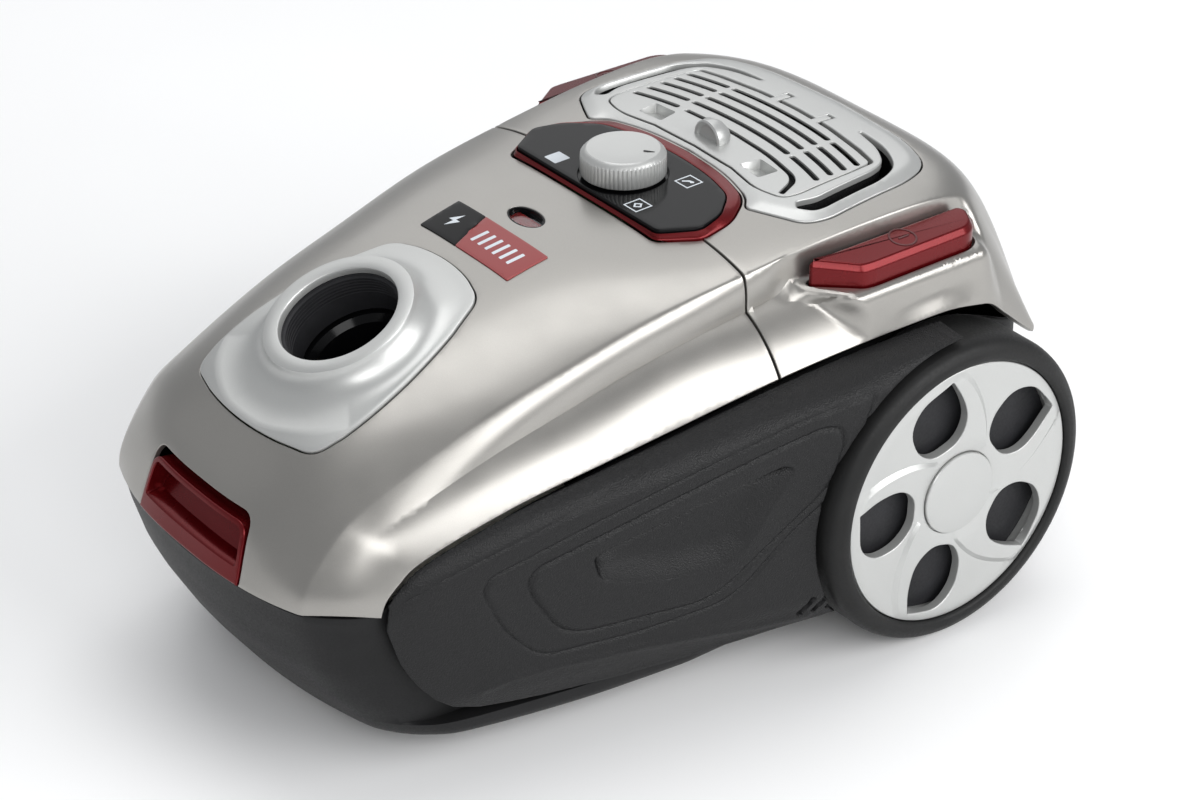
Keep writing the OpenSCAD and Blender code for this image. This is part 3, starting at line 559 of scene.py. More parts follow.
SKIN_EDGE = 49.0  # chart distance from the crease to the mouldings' lower edge
WALL = 2.4
U_TABLE = np.linspace(0, LAST_U, 2801)
S_TABLE = np.concatenate([[0], np.cumsum(np.linalg.norm(np.diff(CENTRE(U_TABLE), axis=0), axis=1))])
PODS = np.array([0, 0.36, 0.56, 0.64, 0.84, 1])  # where on the flank the points of a pod's section lie
POD_SHELF = 179.5
POD_SIDE = ((119.5, 0.5, 178.5), (121.8, 0.6, 175.5), (123.2, 0.8, 166))  # x, share from crease to edge, height


def station(s):
    """Guide number at a length along the centre line, carried on past both ends."""
    first = (U_TABLE[1] - U_TABLE[0]) / (S_TABLE[1] - S_TABLE[0])
    return np.interp(s, S_TABLE, U_TABLE) + np.minimum(s, 0) * first + np.maximum(s - S_TABLE[-1], 0) * first


def length_at(u):
    return np.interp(u, U_TABLE, S_TABLE)


def pod_path(a, b, t):
    """Down the flank beside a pedal: a level shelf, then a steep side, between crease a and lower edge b."""
    one = np.ones(len(a))
    shelf = np.stack([a[:, 0] + 0.8, a[:, 1], POD_SHELF * one], 1)
    side = [np.stack([x * one, mix(a[:, 1], b[:, 1], w), z * one], 1) for x, w, z in POD_SIDE]
    path = np.stack([a, shelf, *side, b])
    k = np.clip(np.searchsorted(PODS, t, side="right") - 1, 0, 4)
    f = ((t - PODS[k]) / (PODS[k + 1] - PODS[k]))[:, None]
    rows = np.arange(len(a))
    return mix(path[k, rows], path[k + 1, rows], f)


def flank(u, t):
    """The side below the crease: plain at the ends, stepped along the middle, with a shelf by each pedal."""
    a, b = CREASE(u), EDGE(u)
    w = t[:, None]
    plain = mix(a, b, w) + np.array([0.84, 0, 0.54]) * 3 * np.sin(np.pi * w)
    y = plain[:, 1]
    start = np.interp(t, [0.3, 0.36, 0.56, 0.84, 1], [37, 39, 54, 62, 66])
    step = (ease(u, 2.4, 5.8) * (1 - ease(u, 10.5, 11.5)))[:, None]
    pod = (ease(y, start, start + 14) * (1 - ease(y, 143 - 4 * t, 155)))[:, None]
    c = np.stack([a[:, 0] + mix(4.5, 0.8, ease(u, 6, 8)), mix(a[:, 1], b[:, 1], STEP_SHARE), a[:, 2] - 17.2], 1)
    high = np.stack([c[:, 0] + 0.8, mix(a[:, 1], c[:, 1], 0.5), a[:, 2] - 4.5], 1)
    low = np.stack([mix(c[:, 0], b[:, 0], 0.6), mix(c[:, 1], b[:, 1], 0.4), mix(c[:, 2], b[:, 2], 0.28)], 1)
    above, below = w / STEP_SHARE, (w - STEP_SHARE) / (1 - STEP_SHARE)
    stepped = np.where(w < STEP_SHARE, bend(a, high, c, above), bend(c, low, b, below))
    reach = np.clip(np.minimum(t, 1 - t), 0, 0.04)
    podded = np.mean([pod_path(a, b, np.clip(t + k * reach, 0, 1)) for k in (-1, -0.5, 0, 0.5, 1)], axis=0)
    return mix(mix(plain, stepped, step), podded, pod)


def crown(u, x):
    """The top between the creases, at a chart distance x from the centre line."""
    a, c = CENTRE(u), CREASE(u)
    power = 2.6 + 1.4 * np.clip((u - 4) / 3, 0, 1)
    w = np.clip(x / c[:, 0], 0, 1) ** power
    return np.stack([x, mix(a[:, 1], c[:, 1], w), mix(a[:, 2], c[:, 2], w)], 1)


def skin(q):
    """Outer surface of the upper body over a chart: across, then along the centre line."""
    q = np.asarray(q, float)
    u, x = station(q[:, 1]), np.abs(q[:, 0])
    edge = CREASE(u)[:, 0]
    soft = 1.3
    below = flank(u, np.maximum(x - edge, 0) / FLANK)
    out = np.where((x <= edge)[:, None], crown(u, np.minimum(x, edge)), below)
    near = np.abs(x - edge) < soft
    if near.any():
        un, en = u[near], edge[near]
        f = ((x[near] - en) / soft + 1)[:, None] / 2
        out[near] = bend(crown(un, en - soft), CREASE(un), flank(un, np.full(len(un), soft / FLANK)), f)
    out[:, 0] *= np.where(q[:, 0] < 0, -1, 1)
    return out


def locate(view, targets, guess, rounds=25):
    """Chart points whose view, two numbers per skin point, equals the targets, by Newton's method."""
    q, d = np.array(guess, float), 0.3
    for _ in range(rounds):
        gx = (view(skin(q + [d, 0])) - view(skin(q - [d, 0]))) / (2 * d)
        gy = (view(skin(q + [0, d])) - view(skin(q - [0, d]))) / (2 * d)
        e = targets - view(skin(q))
        det = gx[:, 0] * gy[:, 1] - gx[:, 1] * gy[:, 0]
        det = np.where(np.abs(det) < 1e-3, 1e-3, det)
        step = np.stack([e[:, 0] * gy[:, 1] - e[:, 1] * gy[:, 0], gx[:, 0] * e[:, 1] - gx[:, 1] * e[:, 0]], 1)
        step /= det[:, None]
        size = np.linalg.norm(step, axis=1)[:, None]
        q += step * np.minimum(1, 8 / np.maximum(size, 1e-9))
    return q


def from_above(p):
    return p[:, :2]


def from_front(p):
    return p[:, [0, 2]]


INLET = np.array([0, -122.9, 180.6])
INLET_TILT = 23.0
TILT = math.radians(INLET_TILT)


def from_inlet(p):
    d = p - INLET
    return np.stack([d[:, 0], d[:, 1] * math.cos(TILT) + d[:, 2] * math.sin(TILT)], 1)


def chart_guess(xy):
    """Rough chart place of points seen from above."""
    table = CENTRE(U_TABLE)
    s = np.interp(xy[:, 1], table[:, 1], S_TABLE)
    edge = CREASE(station(s))[:, 0]
    x = np.abs(xy[:, 0])
    far = edge + FLANK * (STEP_SHARE + 0.2 * (x - edge - 0.8) / np.maximum(118.7 - edge, 1))
    return np.stack([np.sign(xy[:, 0]) * np.where(x <= edge, x, far), s], 1)


def on_top(xy):
    """The skin seen from above, as points."""
    xy = np.asarray(xy, float)
    return skin(locate(from_above, xy, chart_guess(xy), 12))


def on_skin(q, h):
    """Points at a height over the skin."""
    return skin(q) + normals(skin, q) * h


def crease_line(u_from, u_to, offset, side):
    """A line on the chart that follows the crease, some way out from it."""
    u = np.linspace(u_from, u_to, 90)
    return np.stack([side * (CREASE(u)[:, 0] + offset), length_at(u)], 1)


def skin_piece(name, u_from, u_to, cuts, step, extra=()):
    """A moulding of the upper body between two guide numbers, less its cuts; mesh edges follow the creases."""
    sides = (-1, 1)
    right, left = [crease_line(u_from, u_to, SKIN_EDGE, side) for side in (1, -1)]
    outline = np.concatenate([right, left[::-1]])
    lines = [crease_line(u_from, u_to, off, side)[1:-1] for side in sides for off in (-1.3, -0.4, 0.5, 1.3)]
    lines += [crease_line(max(u_from, STEP_FROM), u_to, STEP_AT, side)[1:-1] for side in sides]
    points = np.concatenate([grid(outline.min(0), outline.max(0), step), *extra])
    flat = trimmed(points, outline, cuts, 0.9, 2.2, lines)
    return shell(name, skin, flat, WALL, 0.55, 4, 20)


CONTROL = both_sides([(53.2, 8, 3.5), (64.5, 26, 4), (62, 44, 6), (51, 60, 8), (28, 66.5, 24),
                      (0, 68.5, 24)], 8)
PEDAL = rounded([(99.1, 57.2), (101.6, 56.6), (116.2, 74.6), (117.0, 80), (116.6, 137), (113, 143), (104, 147),
                 (99.1, 144)], [1.2, 3.2, 6, 7, 7, 6, 6, 3.5], 6)
EXHAUST = both_sides([(0, 69.9, 0), (28, 67.9, 12), (51, 61.6, 5), (57.5, 55.5, 3), (68, 60.5, 6), (82.5, 68.5, 9),
                      (86, 80, 9), (81.5, 130, 16), (73, 149, 16), (50, 158, 22), (0, 162, 0)], 8)


def cut_above(outline, step=2.2):
    p = divided(outline, step)
    return locate(from_above, p, chart_guess(p))


# Lid: the front of the upper body
INSERT_ROWS = (2.8, 5.02)


def insert_at(s, c):
    half = mix(46, 33, s**1.3) + 9 * np.sin(np.pi * s)
    u = mix(*INSERT_ROWS, s) + np.where(s < 0.5, 0.16, -0.12) * c**2 * np.abs(2 * s - 1) ** 3
    return np.stack([c * half, length_at(u)], 1)


def insert_outline():
    n, blend = 40, 7
    t = np.linspace(0, 1, n, endpoint=False)
    one = np.ones(n)
    loop = np.concatenate([insert_at(0 * one, 2 * t - 1), insert_at(t, one), insert_at(one, 1 - 2 * t),
                           insert_at(1 - t, -one)])
    near_corner = np.array([min(i % n, n - i % n) for i in range(len(loop))])
    keep = (near_corner == 0) | (near_corner > blend)
    return rounded(loop[keep], np.where(near_corner[keep] == 0, 9.0, 0.0), 8)


INSERT = insert_outline()
LATCH_TOP, LID_RIM = 119.8, 93.6


def latch_outline(grow, low, high):
    return rounded([(-40.5 - grow, low), (40.5 + grow, low), (40.6 + grow, 97), (38 + grow, high),
                    (-38 - grow, high), (-40.6 - grow, 97)], [0.1, 0.1, 8, 7, 7, 8], 6)


def on_nose(p):
    """Chart points of places on the nose seen from the front."""
    return locate(from_front, p, np.stack([p[:, 0], (p[:, 1] - LID_RIM) * 1.15], 1))


WINDOW = np.array([(11.2 * math.cos(a), -22.6 + 6.3 * math.sin(a))
                   for a in np.linspace(0, 2 * math.pi, 40)[:-1]])
lid = skin_piece("lid_shell", 0, SEAM_U - SEAM_GAP,
                 [on_nose(divided(latch_outline(0, 86, 124), 2)), grown(INSERT, 0.6), cut_above(WINDOW, 1),
                  cut_above(grown(CONTROL, 1.2))], 3.2)
finish(lid, "lid", "taupe_paint", "lid_shell")

# Rear cover: the rest of the upper body
pedal_cut = cut_above(grown(PEDAL, 0.9), 1.8)
pedal_cut[:, 0] = np.maximum(pedal_cut[:, 0], CREASE(station(pedal_cut[:, 1]))[:, 0] + STEP_AT - 0.6)
pedal_cuts = [pedal_cut, pedal_cut * [-1, 1]]
pod_front = grid((105, length_at(7.6)), (143, length_at(9.6)), 1.3)
pod_rear = grid((109, length_at(9.6)), (137, length_at(12.4)), 2.0)
pods = [p * [side, 1] for p in (pod_front, pod_rear) for side in (-1, 1)]
rear = skin_piece("rear_cover", SEAM_U + SEAM_GAP, LAST_U,
                  [cut_above(grown(CONTROL, 0.7)), cut_above(grown(EXHAUST, 0.5)), *pedal_cuts], 3.0, pods)
finish(rear, "chassis", "taupe_paint", "rear_cover")


# ---- Inlet: light insert with a collar, and its ribbed seal --------------------------
COLLAR_FOOT = 60.0  # the cone's radius where it leaves the insert
COLLAR = [(35.15, -0.7), (34.9, -0.2), (34.4, 0), (28.3, 0), (27.8, -0.15), (27.5, -0.6), (27.5, -3.6),
          (30.3, -3.9), (30.3, -24), (33, -24), (33.4, -19)]  # radius and height, mouth first


def inlet_space(radius, angle, height):
    """Points at a radius, angle and height about the inlet axis."""
    x, y = radius * np.cos(angle), radius * np.sin(angle)
    c, s = math.cos(TILT), math.sin(TILT)
    return INLET + np.stack([x, y * c - height * s, y * s + height * c], 1)


def inlet_trim():
    loop = divided(INSERT, 1.6)
    flat_view = from_inlet(skin(loop))
    angle = np.arctan2(flat_view[:, 1], flat_view[:, 0])
    towards = np.stack([np.cos(angle), np.sin(angle)], 1)
    near = np.minimum(COLLAR_FOOT, np.linalg.norm(flat_view, axis=1) - 1.5)
    foot = locate(from_inlet, towards * near[:, None], loop * 0.8 + np.array([0, length_at(3.9)]) * 0.2)
    raised = 0.9

    def about_axis(r, h):
        return inlet_space(r, angle, np.full(len(angle), float(h)))

    inner = grown(loop, -0.45)
    rows = [on_skin(loop, -1.0), on_skin(loop, raised - 0.4), on_skin(grown(loop, -0.12), raised - 0.12),
            on_skin(inner, raised)]
    rows += [on_skin(mix(inner, foot, w), raised) for w in (0.25, 0.5, 0.75, 1.0)]
    start = rows[-1]
    start_height = (start - INLET) @ np.array([0, -math.sin(TILT), math.cos(TILT)])
    knee = inlet_space(39.5, angle, mix(-13.0, start_height, 0.35))
    rows += [bend(start, knee, about_axis(35.3, -1.6), t) for t in np.linspace(0, 1, 15)[1:]]
    rows += [about_axis(r, h) for r, h in COLLAR]
    rows += [on_skin(mix(inner, foot, 0.9), -1.6), on_skin(grown(loop, -0.6), -1.2), rows[0]]
    finish(mesh("inlet_trim", *wrap(rows), 34), "lid", "silver_paint", "inlet_trim")


def at_inlet(part):
    return moved(part, tilt_x(INLET_TILT, INLET))


def inlet_seal():
    ribs = [(r, h - 1.7 * k) for k in range(6) for r, h in ((27.3, -4.9), (26.2, -5.5), (26.2, -6.1))]
    profile = [(30.0, -24), (25.9, -24), (25.9, -15.5), *ribs[::-1], (27.3, -4.5), (28.0, -4.1), (29.9, -4.1)]
    part = at_inlet(lathe_parts(profile, 128))
    finish(mesh("inlet_seal", *part, 30), "lid", "rubber", "inlet_seal")


inlet_trim()
inlet_seal()


# ---- Lid window and badge ------------------------------------------------------------
def raised_skin(h):
    return lambda q: on_skin(q, h)


def flat_on_skin(outline_xy, cuts, step, spacing):
    """A seen-from-above outline carried over to the chart of the skin, and filled."""
    loop = cut_above(np.array(outline_xy, float), step)
    holes = [cut_above(np.array(c, float), step) for c in cuts]
    return trimmed(grid(loop.min(0), loop.max(0), spacing), loop, holes, 0.8, step)


def window():
    well = flat_on_skin(WINDOW, (), 1.2, 1.6)
    deep = raised_skin(-2.6)
    finish(shell("indicator_window", deep, well, 0.8, 0.2, 2), "lid", "clear_window", "indicator_window")
    rim = flat_on_skin(grown(WINDOW, 0.5), [grown(WINDOW, -0.7)], 1.0, 1.2)
    finish(shell("window_rim", raised_skin(-0.25), rim, 3.0, 0.3, 2), "lid", "black_gloss")


def badge():
    """A dark plate with a bolt mark and a red field with plain bars."""
    reach, front, back, split, lean = 0.385, 5.2, 5.68, -0.28, 0.1

    def at(u, a):
        return np.array([CREASE([u])[0, 0] * reach * a, float(length_at(u))])

    def on_lid(name, outline, spacing, gap, step, height, thick, edge, rings, look, replaces=None):
        flat = trimmed(grid(outline.min(0), outline.max(0), spacing), outline, (), gap, step)
        part = shell(name, raised_skin(height), flat, thick, edge, rings)
        finish(part, "lid", "black_gloss", replaces, look)

    split_front, split_back = at(front, split + lean), at(back, split - lean)
    dark = rounded([at(front, -1), split_front, split_back, at(back, -1)], 0.8, 3)
    red = rounded([split_front, at(front, 1), at(back, 1), split_back], 0.8, 3)
    on_lid("badge_dark", dark, 3.0, 0.8, 2.0, 0.55, 0.5, 0.25, 3, "black_gloss", "badge_plate")
    on_lid("badge_red", red, 3.0, 0.8, 2.0, 0.55, 0.5, 0.25, 3, "print_red")
    bolt = [(1.2, 5.2), (-3.4, -0.6), (-0.4, -0.6), (-1.2, -5.2), (3.4, 0.6), (0.4, 0.6)]
    bars = [rounded(box_outline(*at(5.44, -0.08 + 0.16 * k), 2.0, 9.0, -0.12), 0.4, 2) for k in range(6)]
    for k, outline in enumerate([at(5.44, -0.66) + np.array(bolt), *bars]):
        on_lid(f"badge_mark_{k}", outline, 1.5, 0.4, 1.2, 0.62, 0.3, 0.05, 1, "print_white")


window()
badge()


# ---- Latch ---------------------------------------------------------------------------
def latch():
    outline = latch_outline(-0.6, 94, LATCH_TOP)
    xs, zs = np.meshgrid(np.linspace(-42, 42, 30), np.linspace(92, 122, 14))
    samples = np.stack([xs.ravel(), zs.ravel()], 1)
    ys = skin(on_nose(samples))[:, 1]

    def terms(q):
        x, z = (q[:, 0] / 40) ** 2, (q[:, 1] - 107) / 15
        return np.stack([x**i * z**j for i in range(5) for j in range(4)], 1)

    fit = np.linalg.lstsq(terms(samples), ys, rcond=None)[0]
    recess = rounded([(-36.6, 101.5), (36.6, 101.5), (36.4, 104), (34.8, 117), (-34.8, 117), (-36.4, 104)],
                     [5, 5, 1, 4, 4, 1], 6)
    wall = 1.1

    def surface(q):
        y = terms(q) @ fit
        deep = mix(7.5, 11.5, ease(q[:, 1], 101, 114)) * ease(depth(q, recess), -0.3, wall)
        return np.stack([q[:, 0], y - 0.8 + deep, q[:, 1]], 1)

    lines = beside(recess, (0.5, 0.1, -0.45, -1.0, -1.7), step=1.6)
    flat = trimmed(grid((-42, 92), (42, 122), 2.0), outline, (), 0.8, 1.6, lines)
    part = shell("lid_latch", surface, flat, 2.2, 0.8, 5, 30)
    finish(part, "latch", "wine_paint", "lid_latch")
    tongue = joined(box_part((-14, -195, 84), (14, -191.6, 98)), box_part((-14, -193, 84), (14, -190.2, 87)),
                    box_part((-38, -189.4, 117.8), (38, -183.6, 124.0), 2.5))
    finish(mesh("latch_tongue", *tongue), "latch", "wine_paint")


latch()


# ---- Control unit --------------------------------------------------------------------
KNOB_Y = 31.6


def panel_level(y):
    """Height of the control panel, which rises a little to the rear."""
    return 200.7 + (y - 8) * 0.024


def inset(outline, d):
    """The outline moved inwards by a distance that may differ from point to point."""
    return grown(outline, -np.asarray(d, float))


def on_panel(height):
    return lambda q: np.column_stack([q, panel_level(q[:, 1]) + height])


def control_unit():
    loop = divided(CONTROL, 1.8)
    ground = on_top(loop)[:, 2]
    y = loop[:, 1]
    wide = mix(1.3, 6.2, ease(y, 24, 60))
    top = panel_level(y) - mix(1.7, 0.5, ease(y, 12, 45))
    at = lambda d, z: np.column_stack([inset(loop, d), z])
    none = 0 * wide
    skirt = mix(0.1, 3.5, ease(y, 10, 20))  # short at the front, where the lid's hinge arms swing up
    rows = [at(none, ground - skirt), at(none, ground - 0.05), at(none + 0.15, ground + 0.35),
            at(none + 0.5, ground + 0.7)]
    rows += [at(mix(0.5, wide - 0.4, w), mix(ground + 0.7, top, w**0.8)) for w in (0.25, 0.5, 0.75, 1.0)]
    rows += [at(wide - 0.05, top - 0.15), at(wide + 0.1, top - 0.5), at(wide + 0.1, top - 1 - skirt), rows[0]]
    finish(mesh("control_frame", *wrap(rows), 34), "chassis", "wine_paint", "control_frame")

    edge = inset(loop, wide + 0.6)
    hole = circle(0, KNOB_Y, 20.6, 96)
    flat = trimmed(grid(edge.min(0), edge.max(0), 3.5), edge, [hole], 1.0, 2.0)
    well = lathe_parts([(21.2, 198.0), (21.2, 199.6), (6, 199.6), (6, 198.0)], 96)
    part = joined(shell_parts(on_panel(0), flat, 2.4, 0.5, 4, low=197.9),
                  moved(well, Matrix.Translation((0, KNOB_Y, 0))))
    finish(mesh("control_panel", *part, 30), "chassis", "black_gloss", "control_panel")


def panel_mark(name, outline, cuts=()):
    flat = trimmed(np.zeros((0, 2)), outline, cuts, 0.3, 1.0)
    finish(shell(name, on_panel(0.06), flat, 0.1, 0.02, 1), "chassis", "black_gloss", None, "print_white")


def panel_marks():
    """Plain signs round the knob: a filled square, a framed diamond and a framed wave."""
    diamond_at, wave_at = (29, 17.5), (25.5, 49)
    panel_mark("icon_low", rounded(box_outline(-31, 17.5, 8.6, 8.6), 0.6, 2))
    for k, at in enumerate((diamond_at, wave_at)):
        panel_mark(f"icon_frame_{k}", box_outline(*at, 9.4, 9.4), [box_outline(*at, 8.0, 8.0)])
    diamond = [box_outline(*diamond_at, side, side, 0.785) for side in (3.6, 1.9)]
    panel_mark("icon_diamond", diamond[0], diamond[1:])
    wave = [(-2.8, -1.6), (-1.9, -2.4), (-0.6, -0.8), (0.6, 0.2), (1.6, -0.4), (2.6, 0.9), (2.0, 1.7),
            (0.8, 1.4), (-0.6, 1.0), (-1.8, -0.6)]
    panel_mark("icon_wave", np.array(wave) + wave_at)


def knob():
    ribs, per_rib, top, base = 60, 8, 214.0, 201.7
    n = ribs * per_rib
    a = np.linspace(0, 2 * np.pi, n, endpoint=False)
    wave = 0.42 * np.abs(np.cos(ribs * a / 2)) ** 0.7
    # radius, height, share of the ribs' depth
    profile = [(0, base, 0), (6, base, 0), (18.6, base, 0), (19.2, 202.0, 0.3), (19.35, 202.8, 1),
               (19.2, top - 3.0, 1), (19.1, top - 2.4, 0.8), (18.9, top - 2.0, 0), (18.5, top - 1.4, 0),
               (17.4, top - 0.35, 0), (16.7, top, 0), (16.0, top - 0.05, 0), (12, top - 0.45, 0),
               (6, top - 0.7, 0), (0, top - 0.75, 0)]
    rows = []
    for r, z, rib in profile:
        rr = r + wave * rib
        rows.append(np.stack([rr * np.cos(a), KNOB_Y + rr * np.sin(a), np.full(n, z)], 1))
    # Painted shade: a dark strip on the top that stands for the shade in the knob's pointer notch.
    notch_shade = moved(box_part((9.5, -0.5, 0), (15.5, 0.5, 0.25), 0.1),
                    Matrix.Translation((0, KNOB_Y, top - 0.42)) @ Matrix.Rotation(math.radians(35), 4, "Z"))
    finish(mesh("knob", *wrap(rows), 30), "power_knob", "silver_paint", "knob")
    finish(mesh("knob_pointer", *notch_shade), "power_knob", "silver_paint", None, "textured_panel")


control_unit()
panel_marks()
knob()


# ---- Exhaust frame, cover and finger tab ---------------------------------------------
COVER = both_sides([(0, 73.2, 0), (28, 71.8, 0), (50, 67.6, 9), (63.4, 71.5, 5), (65.6, 79, 5), (64, 112, 0),
                    (62.5, 124, 2.5), (50, 126.7, 0), (25, 130.8, 0), (16.6, 131.5, 0), (16.6, 140.8, 0.4),
                    (12.6, 140.8, 0.4), (12.6, 131.7, 0), (0, 132.2, 0)], 6)
HOLE = both_sides([(0, 72.6, 0), (28, 71.2, 0), (50, 67.0, 9), (64.0, 71.0, 5), (66.2, 79, 5), (64.6, 112, 0),
                   (63.1, 126.3, 2.5), (50, 129.6, 0), (25, 133.6, 0), (17.1, 134.3, 0), (17.1, 142.6, 0.4),
                   (12.1, 142.6, 0.4), (12.1, 134.6, 0), (0, 135.0, 0)], 6)
SLOT = rounded([(74.0, 71.2), (79.6, 76.2), (80.6, 82), (77.0, 119), (70.6, 132.5), (54.5, 141.2), (35.5, 142.8),
                (35.5, 141.2), (53.5, 137.0), (65, 130), (68.6, 121), (72.4, 84), (69.6, 74.5)],
               [2, 4, 4, 9, 8, 9, 0.8, 0.8, 6, 5, 6, 4, 2], 5)
SLIT_Y = (102.0, 110.2, 118.2, 126.0)
SLIT, SLIT_BOW = 3.0, 0.0022  # width, and how far it bows to the rear
COVER_PIVOT = (0, 139.5, 201.0)


def exhaust_level(q):
    """Height of the exhaust unit over the skin, sloping down to it round the outside."""
    ground = on_top(q)[:, 2]
    return ground + 0.25 + 2.1 * ease(depth(q, EXHAUST), -1.0, 6.5)


def exhaust_at(height):
    return lambda q: np.column_stack([q, exhaust_level(q) + height])


def strip(x_from, x_to, y0, n=14):
    """The outline of a slit with round ends, bowed to the rear."""
    x = np.linspace(x_from, x_to, n)
    y = y0 - SLIT_BOW * x * x
    r = SLIT / 2

    def caps(xc, yc, start):
        turn = np.linspace(start, start + math.pi, 7)
        return [(xc + r * math.cos(a), yc + r * math.sin(a)) for a in turn]

    return np.array([*zip(x, y - r), *caps(x[-1], y[-1], -math.pi / 2)[1:-1], *zip(x[::-1], y[::-1] + r),
                     *caps(x[0], y[0], math.pi / 2)[1:-1]])


def exhaust_frame():
    """The light deck round the exhaust cover, with a dark well under each of its two handle slots."""
    slots = [SLOT, (SLOT * [-1, 1])[::-1]]
    flat = trimmed(grid((-88, 58), (88, 164), 2.6), EXHAUST, [HOLE, *slots], 0.9, 1.8)
    deck = shell("exhaust_frame", exhaust_at(0), flat, 3.2, 0.8, 4, 34)
    finish(deck, "chassis", "silver_paint", "exhaust_frame")
    loop = divided(grown(SLOT, 0.8), 2.0)
    ground = on_top(loop)[:, 2]
    section = [(0, 0.2), (0, -12), (0, -14.5), (0.9, -14.5), (0.9, 0.2), (0, 0.2)]
    well = wrap([np.column_stack([grown(loop, out), ground + z]) for out, z in section])
    for name, part in (("handle_well_right", well), ("handle_well_left", mirrored(well))):
        finish(mesh(name, *part), "chassis", "dark_plastic", None, "textured_panel")


def cover_slits():
    """Four rows of three slits, and a front row whose long slit turns the corner by the notches."""
    slits = []
    for y in SLIT_Y:
        slits += [strip(-33.5, 33.5, y, 18), strip(38.4, 60.5, y), strip(-60.5, -38.4, y)]
    corner = rounded([(-30, 92.6), (0, 94.8), (30, 92.9), (52, 88.6), (57.6, 84.8), (62.2, 73.6), (59.6, 72.6),
                      (55.2, 82.9), (50.6, 86.2), (30, 90.3), (0, 92.2), (-30, 90.0)],
                     [1.2, 8, 8, 5, 4, 1.2, 1.2, 3, 3, 8, 8, 1.2], 4)
    return [*slits, corner, strip(-60.5, -36, 93.6)]


def exhaust_cover():
    notch = rounded([(29, 75.8), (43.5, 74.4), (44.5, 85.0), (31, 86)], 1.2, 4)
    notches = [notch, (notch * [-1, 1])[::-1]]

    def surface(q):
        z = exhaust_level(q)
        for notch in notches:
            z = z - mix(1.0, 4.6, ease(q[:, 1], 74, 85)) * ease(depth(q, notch), -0.2, 0.8)
        return np.column_stack([q, z])

    lines = [line for notch in notches for line in beside(notch, (0.3, -0.25, -0.9), step=1.4)]
    flat = trimmed(grid((-68, 66), (68, 142), 2.2), COVER, cover_slits(), 0.7, 1.6, lines)
    cover = shell("exhaust_cover", surface, flat, 1.1, 0.3, 3, 34)
    finish(cover, "exhaust_door", "silver_paint", "exhaust_cover")
    # Painted shade: a dark sheet under the cover, so that the slits look dark as if in shade below them.
    body = np.array([p for p in COVER if p[1] < 132.3])
    slit_shade = trimmed(grid((-66, 68), (66, 132), 5), grown(body, -3.5), (), 1.5, 4.0)
    slit_shade = shell("exhaust_guard", exhaust_at(-4.6), slit_shade, 0.8, 0.2, 1)
    finish(slit_shade, "exhaust_door", "dark_plastic", None, "textured_panel")
    lugs = lathe_parts([(0, -16.4), (1.2, -16.4), (1.2, 16.4), (0, 16.4)], 32, False)
    finish(mesh("exhaust_cover_lugs", *moved(lugs, across(COVER_PIVOT))), "exhaust_door", "silver_paint")


def exhaust_latch_tab():
    """A half-round finger tab with a hollow face, on a foot under the cover."""
    base, arc = 203.7, np.linspace(0, math.pi, 33)
    rows = []
    for y, r in [(80.6, 6.4), (80.0, 7.0), (79.4, 7.6), (79.3, 8.4), (79.9, 9.2), (83.5, 9.5), (87.5, 7.4),
                 (90.6, 4.0), (91.8, 1.0)]:
        ring = [(r * math.cos(a), y, base + r * math.sin(a)) for a in arc]
        rows.append(np.array([*ring, (-r, y, base - 1.2), (r, y, base - 1.2)]))
    tab = joined(wrap(rows, True, True), box_part((-8.6, 79.6, 199.9), (8.6, 89.5, 203.2)))
    finish(mesh("exhaust_latch_tab", *tab, 40), "exhaust_tab", "silver_paint", "exhaust_latch_tab")


exhaust_frame()
exhaust_cover()
exhaust_latch_tab()


# ---- Foot pedals ---------------------------------------------------------------------
PEDAL_FALL = -0.15  # the tops lean outwards a little
PEDAL_X, PEDAL_Y = 107.2, 105.0
PEDAL_SHOULDER = 180.0  # above this height the pedal leans
PEDAL_SECTION = [(0, 177.0), (0, 186.6), (0.12, 187.15), (0.4, 187.6), (1.5, 189.3), (1.75, 189.6),
                 (2.2, 189.8), (2.7, 189.85)]  # distance in from the outline, height


def pedal(name, body, node, side):
    loop = divided(grown(PEDAL, -0.2), 1.5)
    rows = []
    for d, z in PEDAL_SECTION:
        ring = grown(loop, -d)
        rows.append(np.column_stack([ring, z + PEDAL_FALL * (ring[:, 0] - PEDAL_X) * (z > PEDAL_SHOULDER)]))
    part = joined(wrap(rows, True, True), box_part((103.5, 86, 168), (109.5, 128, 178)))
    bars = [(0, 0.6, 1.0, 6.0)] if side > 0 else [(0, -1.4, 6.0, 1.0), (2.4, 0.6, 1.0, 3.6)]
    # Painted shade: the ring and bars are raised marks in a darker red, standing for the shade in the engraved
    # icon.
    marks = [(circle(PEDAL_X, PEDAL_Y, 6.6, 60), [circle(PEDAL_X, PEDAL_Y, 5.7, 60)])]
    marks += [(rounded(box_outline(PEDAL_X + x, PEDAL_Y + y, w, h), 0.3, 2), ()) for x, y, w, h in bars]
    raised = lambda q: np.column_stack([q, 190.12 + PEDAL_FALL * (q[:, 0] - PEDAL_X)])
    icon = joined(*[shell_parts(raised, trimmed(np.zeros((0, 2)), outline, cuts, 0.3, 0.8), 0.3, 0.12, 2)
                    for outline, cuts in marks])
    if side < 0:
        part, icon = mirrored(part), mirrored(icon)
    finish(mesh(name, *part, 24), body, "wine_paint", node)
    finish(mesh(f"{name}_icon", *icon), body, "wine_paint", None, "wine_dark")


pedal("power_pedal", "power_button", "power_pedal", 1)
pedal("rewind_pedal", "rewind_button", "rewind_pedal", -1)


